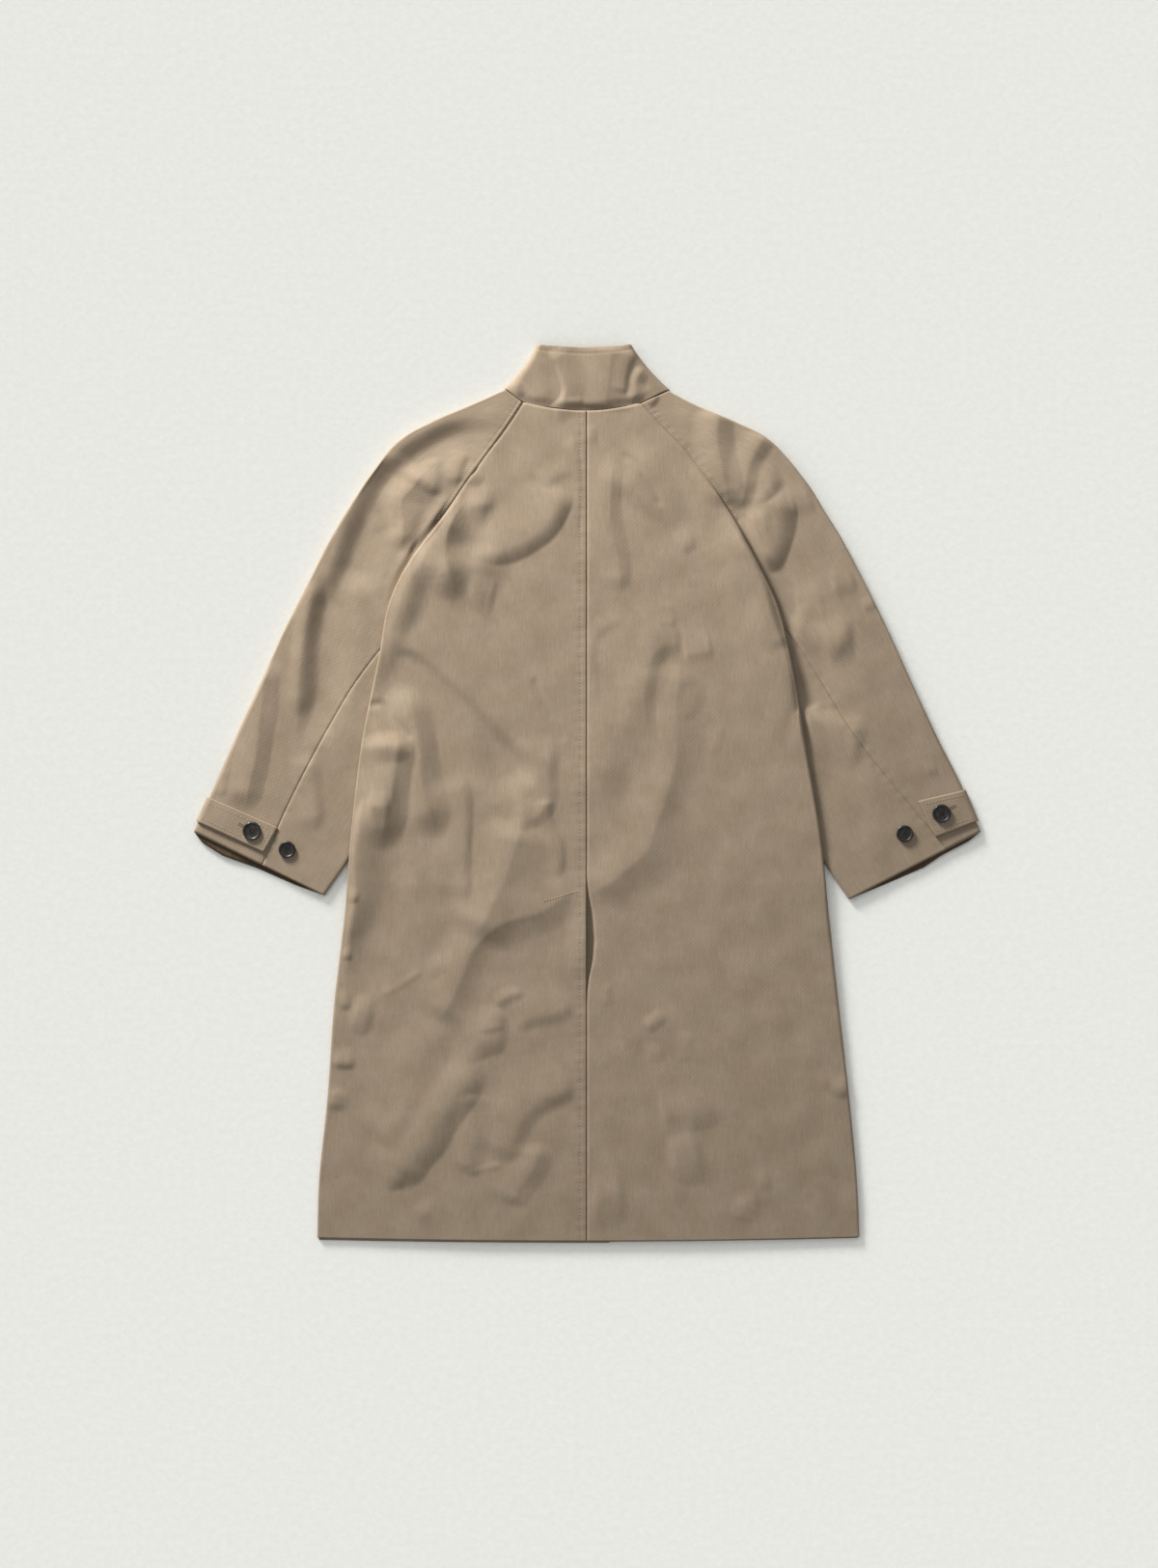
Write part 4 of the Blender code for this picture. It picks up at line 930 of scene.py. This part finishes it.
def polished_horn():
    """Turned and polished dark horn: near black with smoky grey streaks and a soft gloss."""
    made, tree, shader = new_material("polished_horn", 0.42, IOR=1.5, Coat_Weight=0.05)
    place = add_node(tree, "ShaderNodeTexCoord").outputs["Object"]
    # Streaks 3 mm wide and some 12 mm long
    grain_place = add_node(
        tree, "ShaderNodeMapping", _0=place, Rotation=(0, 0, 0.6), Scale=(330, 90, 200)
    )
    grain = add_node(
        tree, "ShaderNodeTexNoise", Vector=grain_place.outputs[0], Scale=1.0, Detail=5.0,
        Roughness=0.62, Distortion=1.2,
    )
    colour = colour_ramp(
        tree, grain.outputs[0], (0.38, "#14110f"), (0.55, "#26221e"), (0.68, "#4b4640"), (0.8, "#7d776d"),
    )
    tree.links.new(colour, shader.inputs["Base Color"])
    bump = add_node(tree, "ShaderNodeBump", Strength=0.15, Distance=0.0002, Height=grain.outputs[0])
    tree.links.new(bump.outputs[0], shader.inputs["Normal"])
    return made


def matt_paper():
    """A matt, slightly mottled pale paper floor."""
    made, tree, shader = new_material("matt_paper", 0.95, Specular_IOR_Level=0.1)
    place = add_node(tree, "ShaderNodeTexCoord").outputs["Object"]
    # Fibres clump every 8 mm or so
    fibres = add_node(tree, "ShaderNodeTexNoise", Vector=place, Scale=120.0, Detail=4.0, Roughness=0.7)
    colour = colour_ramp(tree, fibres.outputs[0], (0.3, "#e4e5e0"), (0.7, "#ebece7"))
    tree.links.new(colour, shader.inputs["Base Color"])
    bump = add_node(tree, "ShaderNodeBump", Strength=0.35, Distance=0.0008, Height=fibres.outputs[0])
    tree.links.new(bump.outputs[0], shader.inputs["Normal"])
    return made


def new_piece(name, mesh):
    made = bpy.data.objects.new(name, mesh)
    bpy.context.scene.collection.objects.link(made)
    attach(made, BODY)
    return made


def cloth_wall(name, columns, rows, place, thickness, middle=0):
    """A fine grid laid on a surface, with its wall made by Solidify. columns and rows are the
    surface's own coordinates of the grid's lines, and middle the column that keeps its length
    in the cloth's own map."""
    columns = np.asarray(columns, float)
    rows = np.asarray(rows, float)
    column, row = np.meshgrid(columns, rows)
    points = place(column.ravel(), row.ravel()).reshape(len(rows), len(columns), 3)
    start = int(np.argmin(np.abs(columns - middle)))
    across = np.cumsum(np.linalg.norm(np.diff(points, axis=1), axis=2), axis=1)
    across = np.concatenate([np.zeros((len(rows), 1)), across], axis=1)
    across = across - across[:, start : start + 1]
    along = np.cumsum(np.linalg.norm(np.diff(points[:, start], axis=0), axis=1))
    along = np.broadcast_to(np.concatenate([[0], along])[:, None], across.shape)
    corner = np.arange(len(rows) * len(columns)).reshape(len(rows), len(columns))
    faces = np.stack([corner[:-1, :-1], corner[1:, :-1], corner[1:, 1:], corner[:-1, 1:]], axis=-1)
    faces = faces.reshape(-1, 4)
    mesh = bpy.data.meshes.new(name)
    mesh.from_pydata(points.reshape(-1, 3).tolist(), [], faces.tolist())
    cloth_map = mesh.uv_layers.new(name="cloth")
    uv = np.stack([across.ravel()[faces.ravel()], along.ravel()[faces.ravel()]], axis=-1)
    cloth_map.data.foreach_set("uv", uv.ravel())
    if highest_faces_up(mesh) < 0:
        mesh.flip_normals()
    mesh.shade_smooth()
    mesh.materials.append(gabardine)
    mesh.materials.append(wrong_side_and_painted_shade)
    made = new_piece(name, mesh)
    wall = made.modifiers.new("wall", "SOLIDIFY")
    wall.thickness = thickness * MM
    wall.offset = 0
    wall.use_even_offset = True
    wall.use_rim = True
    # The inner faces and rims take the wrong side, whose dark brown is partly painted shade
    wall.material_offset = 1
    return made


def highest_faces_up(mesh):
    """Above 0 where the highest face of a wall points up."""
    return max(mesh.polygons, key=lambda face: face.center.z).normal.z


def spaced(start, end, length, spacing):
    """Lines from start to end, so many millimetres apart on a stretch of that length."""
    return np.linspace(start, end, max(2, round(length / spacing) + 1))


def make_pair(name, columns, rows, place, thickness=CLOTH):
    """A cloth piece on the left and one on the right, each in place of the solid of its name.
    columns are given for each side."""
    pieces = {}
    for side in SIDE_NAMES:
        node = name + "_" + SIDE_NAMES[side]
        pieces[side] = cloth_wall(
            node + "_cloth", columns[side], rows, functools.partial(place, side), thickness
        )
        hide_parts(node)
    return pieces


def make_backs():
    band = np.array([0, 0.8, 1.8, 3.2, 5, 6.2, 7, 7.5, 8, 8.8, 10, 12]) / CENTRE_BAND
    band = band * CENTRE_BAND_SHARE
    flat = spaced(CENTRE_BAND_SHARE, 1, 335, FINE)[:-1]
    turned = np.linspace(1, 2, 9)[1:]
    lapped = {LEFT: [], RIGHT: [-1, -0.5, -0.2]}
    columns = {
        side: np.concatenate([lapped[side], band, flat, [0.993, 0.997, 1], turned]) for side in SIDE_NAMES
    }
    rows = np.concatenate([
        spaced(0, VENT_TOP - 3, VENT_TOP, FINE), spaced(VENT_TOP, HEM - 3, HEM - VENT_TOP, FINE),
        [HEM - 1.4, HEM],
    ])
    return make_pair("back", columns, rows, back_place)


def make_fronts():
    rows = np.concatenate([spaced(69, FOLD_STARTS, 75, PLAIN)[:-1], spaced(FOLD_STARTS, HEM, 931, PLAIN)])
    columns = np.concatenate([
        spaced(0, 1, 64, PLAIN)[:-1], spaced(1, 2, 14, 3)[:-1], spaced(2, 3, 300, PLAIN),
    ])
    return make_pair("front", dict.fromkeys(SIDE_NAMES, columns), rows, front_place)


def make_upper_sleeves():
    reach = OUTER_ROLL_SHARE
    columns = np.concatenate([
        spaced(-1, -reach, 200, PLAIN)[:-1], np.linspace(-reach, reach, 11)[:-1],
        spaced(reach, 0.95, 190, FINE)[:-1], [0.955, 0.965, 0.972, 0.979, 0.985, 0.991, 0.996, 1],
    ])
    rows = spaced(0, LAST_ROW, 690, FINE)
    return make_pair("sleeve_upper", dict.fromkeys(SIDE_NAMES, columns), rows, upper_sleeve_place)


def make_under_sleeves():
    reach = INNER_ROLL_SHARE
    columns = np.concatenate([
        spaced(-1, -reach, 60, PLAIN)[:-1], np.linspace(-reach, reach, 11)[:-1],
        spaced(reach, 0.95, 130, FINE)[:-1], [0.95, 0.965, 0.98, 0.99, 1],
    ])
    rows = spaced(UNDER_SLEEVE_STARTS, LAST_ROW, 420, FINE)
    return make_pair("sleeve_under", dict.fromkeys(SIDE_NAMES, columns), rows, under_sleeve_place)


def make_collar():
    columns = np.concatenate([
        spaced(-1, -0.55, 110, 6)[:-1], np.linspace(-0.55, -0.45, 11)[:-1],
        spaced(-0.45, 0.45, 200, 2)[:-1], np.linspace(0.45, 0.55, 11)[:-1], spaced(0.55, 1, 110, 6),
    ])
    rows = spaced(0, 1, 82, 1.7)
    collar = cloth_wall("collar_cloth", columns, rows, collar_place, COLLAR_CLOTH)
    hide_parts("collar")
    return collar


def make_straps():
    columns = {}
    for side in SIDE_NAMES:
        start, end = STRAP[side][[0, -1], 0]
        shares = np.concatenate([
            np.linspace(start, -0.03, 10)[:-1], np.linspace(-0.03, 0.03, 15)[:-1],
            spaced(0.03, end, (end - 0.03) * 200, 1.8),
        ])
        columns[side] = (shares - start) / (end - start)
    return make_pair("cuff_strap", columns, spaced(0, 1, 36, 1.8), strap_place, STRAP_CLOTH)


def button_profile(radius):
    """Right half of a button's section, from its dished face round the rim to its flat back."""
    dish = BUTTON_THICK - BUTTON_DISH
    inner = radius - BUTTON_RIM
    return (
        (0, dish), (inner * 0.5, dish), (inner - 0.9, dish + 0.05), (inner - 0.2, dish + 0.35),
        (inner + 0.3, BUTTON_THICK - 0.2), (inner + 0.9, BUTTON_THICK),
        (radius - 0.9, BUTTON_THICK - 0.15), (radius - 0.3, BUTTON_THICK - 0.7),
        (radius, BUTTON_THICK - 1.5), (radius - 0.4, 1.0), (radius - 1.8, 0.3), (radius * 0.55, 0),
        (0, 0),
    )


def turned_button(name, radius):
    """One button with its four thread holes, on the frame's origin."""
    mesh = bpy.data.meshes.new(name)
    points = [(r * MM, 0, z * MM) for r, z in button_profile(radius)]
    mesh.from_pydata(points, [(i, i + 1) for i in range(len(points) - 1)], [])
    turned = bpy.data.objects.new("button_blank", mesh)
    bpy.context.scene.collection.objects.link(turned)
    spin = turned.modifiers.new("turn", "SCREW")
    spin.steps = spin.render_steps = 64
    spin.use_merge_vertices = True
    spin.merge_threshold = 0.00001
    spin.use_normal_calculate = True
    holes = bmesh.new()
    for quarter in range(4):
        angle = math.pi / 4 + quarter * math.pi / 2
        made = bmesh.ops.create_cone(
            holes, cap_ends=True, segments=16, radius1=BUTTON_HOLE / 2 * MM,
            radius2=BUTTON_HOLE / 2 * MM, depth=3 * BUTTON_THICK * MM,
        )
        reach = BUTTON_HOLE_PITCH / 2 * MM
        middle = (reach * math.cos(angle), reach * math.sin(angle), BUTTON_THICK / 2 * MM)
        bmesh.ops.translate(holes, verts=made["verts"], vec=middle)
    hole_mesh = bpy.data.meshes.new("button_holes")
    holes.to_mesh(hole_mesh)
    holes.free()
    cutter = bpy.data.objects.new("button_holes", hole_mesh)
    bpy.context.scene.collection.objects.link(cutter)
    drill = turned.modifiers.new("drill", "BOOLEAN")
    drill.operation = "DIFFERENCE"
    drill.object = cutter
    bpy.context.view_layer.update()
    graph = bpy.context.evaluated_depsgraph_get()
    finished = bpy.data.meshes.new_from_object(turned.evaluated_get(graph))
    bpy.data.objects.remove(turned)
    bpy.data.objects.remove(cutter)
    return finished


def button_seat(side, share, row, on_strap):
    """Where a button sits on the sleeve, as a matrix: its middle, and its own up."""
    away = CLOTH / 2 + LAYER_GAP
    if on_strap:
        away = away + STRAP_CLOTH + LAYER_GAP
    rows = np.array([row, row, row, row + 0.02, row - 0.02])
    shares = np.array([share, share + 0.01, share - 0.01, share, share])
    points = on_sleeve(side, rows, shares, away)
    across = points[1] - points[2]
    along = points[4] - points[3]
    upward = np.cross(across, along)
    if upward[2] < 0:
        upward = -upward
    upward = upward / np.linalg.norm(upward)
    across = across / np.linalg.norm(across)
    turn = np.eye(4)
    turn[:3, 0], turn[:3, 1], turn[:3, 2] = across, np.cross(upward, across), upward
    turn[:3, 3] = points[0]
    return turn


def make_buttons():
    for name, side, share, row, diameter, on_strap in BUTTONS:
        mesh = turned_button(name + "_horn", diameter / 2)
        mesh.transform(Matrix(button_seat(side, share, row, on_strap).tolist()))
        mesh.materials.clear()
        mesh.materials.append(horn)
        mesh.shade_smooth()
        mesh.set_sharp_from_angle(angle=math.radians(40))
        button = new_piece(name + "_horn", mesh)
        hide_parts(name)


def stitch_tree():
    """Geometry nodes that sew along a curve: plump stitches laid end to end, a gap between."""
    tree = bpy.data.node_groups.new("stitches", "GeometryNodeTree")
    sockets = tree.interface
    sockets.new_socket("Geometry", in_out="INPUT", socket_type="NodeSocketGeometry")
    for name in ("Stitch length", "Gap", "Thread thickness"):
        sockets.new_socket(name, in_out="INPUT", socket_type="NodeSocketFloat")
    sockets.new_socket("Thread", in_out="INPUT", socket_type="NodeSocketMaterial")
    sockets.new_socket("Geometry", in_out="OUTPUT", socket_type="NodeSocketGeometry")
    given = add_node(tree, "NodeGroupInput").outputs
    pitch = add_node(
        tree, "ShaderNodeMath", {"operation": "ADD"}, _0=given["Stitch length"], _1=given["Gap"]
    )
    points = add_node(
        tree, "GeometryNodeCurveToPoints", {"mode": "LENGTH"}, Curve=given["Geometry"],
        Length=pitch.outputs[0],
    )
    ball = add_node(tree, "GeometryNodeMeshUVSphere", Segments=6, Rings=5, Radius=0.5)
    size = add_node(
        tree, "ShaderNodeCombineXYZ", X=given["Thread thickness"], Y=given["Thread thickness"],
        Z=given["Stitch length"],
    )
    sewn = add_node(
        tree, "GeometryNodeInstanceOnPoints", Points=points.outputs["Points"],
        Instance=ball.outputs["Mesh"], Rotation=points.outputs["Rotation"], Scale=size.outputs[0],
    )
    real = add_node(tree, "GeometryNodeRealizeInstances", Geometry=sewn.outputs[0])
    smooth = add_node(tree, "GeometryNodeSetShadeSmooth", Geometry=real.outputs[0])
    finished = add_node(
        tree, "GeometryNodeSetMaterial", Geometry=smooth.outputs[0], Material=given["Thread"]
    )
    add_node(tree, "NodeGroupOutput", Geometry=finished.outputs[0])
    return tree


def sew(name, lines, thread, length=3.4, gap=0.9, thickness=0.7):
    """Stitches along lines of points, as one plain mesh."""
    curve = bpy.data.curves.new(name, "CURVE")
    curve.dimensions = "3D"
    for line in lines:
        spline = curve.splines.new("POLY")
        spline.points.add(len(line) - 1)
        spline.points.foreach_set("co", np.column_stack([line, np.ones(len(line))]).ravel())
    path = bpy.data.objects.new(name, curve)
    bpy.context.scene.collection.objects.link(path)
    sewing = path.modifiers.new("sewing", "NODES")
    sewing.node_group = stitching
    values = {
        "Stitch length": length * MM, "Gap": gap * MM, "Thread thickness": thickness * MM,
        "Thread": thread,
    }
    for item in stitching.interface.items_tree:
        if item.in_out == "INPUT" and item.name in values:
            sewing[item.identifier] = values[item.name]
    bpy.context.view_layer.update()
    graph = bpy.context.evaluated_depsgraph_get()
    mesh = bpy.data.meshes.new_from_object(path.evaluated_get(graph))
    bpy.data.objects.remove(path)
    return new_piece(name, mesh)


def back_line(side, first, last, count=60):
    """Points on the back's face, from one place (out, down) to another."""
    out = np.linspace(first[0], last[0], count)
    down = np.linspace(first[1], last[1], count)
    table = BACK_EDGE[side]
    start = through(table[:, 0], table[:, 1], down)
    past_band = CENTRE_BAND_SHARE + (1 - CENTRE_BAND_SHARE) * (out - CENTRE_BAND) / (start - CENTRE_BAND)
    across = np.where(out < CENTRE_BAND, out / CENTRE_BAND * CENTRE_BAND_SHARE, past_band)
    points = back_place(side, across, down)
    points[:, 2] += (CLOTH / 2 + THREAD_LIFT) * MM
    return points


def make_stitches():
    sewn = {}
    sewn["centre"] = sew(
        "stitches_centre_back",
        [back_line(LEFT, (CENTRE_STITCH, 3), (CENTRE_STITCH, HEM - 4), 400)], thread,
    )
    sewn["vent"] = sew(
        "stitches_vent", [back_line(LEFT, (9, VENT_TOP + 4), (54, VENT_TOP + 17))], thread, 3.0, 0.5, 0.9
    )
    for side, name in SIDE_NAMES.items():
        rows = np.linspace(0.15, UNDERARM_ROW, 120)
        shares = 1 - RAGLAN_STITCH / sleeve_width(side, rows, True)
        sewn["raglan", side] = sew(
            "stitches_raglan_" + name, [on_sleeve(side, rows, shares, CLOTH / 2 + THREAD_LIFT)], thread
        )
        sewn["strap", side] = sew("stitches_strap_" + name, [strap_line(side)], thread)
        sewn["buttonhole", side] = sew(
            "stitches_buttonhole_" + name, buttonhole_lines(side), dark_thread, 0.9, 0.05, 0.8
        )
    return sewn


def strap_line(side):
    """The line sewn round a strap, inside its edges."""
    table = STRAP[side]
    end = table[-1, 0]
    reach_row = STRAP_STITCH / 62
    reach_share = STRAP_STITCH / 190
    share = np.concatenate([
        np.linspace(0.02, end - reach_share, 50), np.full(20, end - reach_share),
        np.linspace(end - reach_share, 0.02, 50),
    ])
    upper = np.interp(share, table[:, 0], table[:, 1]) + reach_row
    lower = np.interp(share, table[:, 0], table[:, 2]) - reach_row
    between = np.concatenate([np.zeros(50), np.linspace(0, 1, 20), np.ones(50)])
    return on_sleeve(side, mix(upper, lower, between), share, ON_STRAP)


def buttonhole_lines(side):
    """Two rows of close stitches with a slit between, from the button towards the fold."""
    share, row = next(button[2:4] for button in BUTTONS if button[1] == side and button[5])
    shares = share - np.linspace(0.02, 0.105, 20)
    return [on_sleeve(side, np.full(20, row + aside), shares, ON_STRAP) for aside in (-0.018, 0.018)]


def make_floor():
    """A sheet of paper on the ground, far wider than the view."""
    mesh = bpy.data.meshes.new("floor")
    grid = bmesh.new()
    bmesh.ops.create_grid(grid, x_segments=4, y_segments=4, size=FLOOR_REACH)
    grid.to_mesh(mesh)
    grid.free()
    mesh.materials.append(matt_paper())
    floor = bpy.data.objects.new("floor", mesh)
    bpy.context.scene.collection.objects.link(floor)
    floor.location.z = -0.3 * MM


def make_lights():
    """Soft studio light: a wide key from the upper left, which falls off across the coat, the
    same light kept even on the floor, and a fill from all round."""
    away = math.cos(KEY_ELEVATION)
    towards = Vector((KEY_FROM[0] * away, KEY_FROM[1] * away, math.sin(KEY_ELEVATION)))
    turn = towards.to_track_quat("Z", "Y")
    strength = KEY_SHARE * math.pi / math.sin(KEY_ELEVATION)
    near = new_light("key", "AREA", turn, "coat", coat_pieces())
    near.location = towards * KEY_DISTANCE
    near.data.shape = "DISK"
    near.data.size = KEY_SIZE
    near.data.energy = strength * math.pi * KEY_DISTANCE**2
    key_angle = 2 * math.atan(KEY_SIZE / 2 / KEY_DISTANCE)
    for name, angle, share in (("floor_key", key_angle, FLOOR_KEY), ("floor_fill", 2.4, FLOOR_FILL)):
        even = new_light(name, "SUN", turn, name + "_ground", [bpy.data.objects["floor"]])
        even.data.angle = angle
        even.data.energy = strength * share
    world = bpy.data.worlds.new("studio")
    bpy.context.scene.world = world
    world.use_nodes = True
    world.node_tree.nodes["Background"].inputs["Color"].default_value = (0.96, 0.98, 1.0, 1)
    world.node_tree.nodes["Background"].inputs["Strength"].default_value = FILL
    bpy.context.scene.view_settings.view_transform = "Standard"


def coat_pieces():
    return [made for made in bpy.context.scene.objects if made.type == "MESH" and made.name != "floor"]


def new_light(name, kind, turn, lit_name, lit):
    """A light that falls on the given objects only, though every object can shade it."""
    light = bpy.data.objects.new(name, bpy.data.lights.new(name, kind))
    bpy.context.scene.collection.objects.link(light)
    light.rotation_mode = "QUATERNION"
    light.rotation_quaternion = turn
    light.data.color = (1.0, 0.985, 0.96)
    lit_by_it = bpy.data.collections.new(lit_name)
    for made in lit:
        lit_by_it.objects.link(made)
    light.light_linking.receiver_collection = lit_by_it
    return light


def make_camera():
    """Straight down from 4.79 m, where an 85 mm lens takes in 2.03 m from top to bottom."""
    lens = bpy.data.cameras.new("camera")
    lens.lens = 85
    lens.sensor_width = 36
    camera = bpy.data.objects.new("camera", lens)
    bpy.context.scene.collection.objects.link(camera)
    camera.location = (-10.6 * MM, 13.1 * MM, 4.796)
    bpy.context.scene.camera = camera


gabardine = cotton_gabardine()
wrong_side_and_painted_shade = cotton_wrong_side_and_painted_shade()
thread = sewing_thread("sewing_thread", "#9c8b76", "#bdae98")
dark_thread = sewing_thread("buttonhole_twist", "#3b3128", "#5a4c3e")
horn = polished_horn()
stitching = stitch_tree()

backs = make_backs()
fronts = make_fronts()
upper_sleeves = make_upper_sleeves()
under_sleeves = make_under_sleeves()
collar = make_collar()
straps = make_straps()
make_buttons()
sewn = make_stitches()
make_floor()
make_lights()
make_camera()
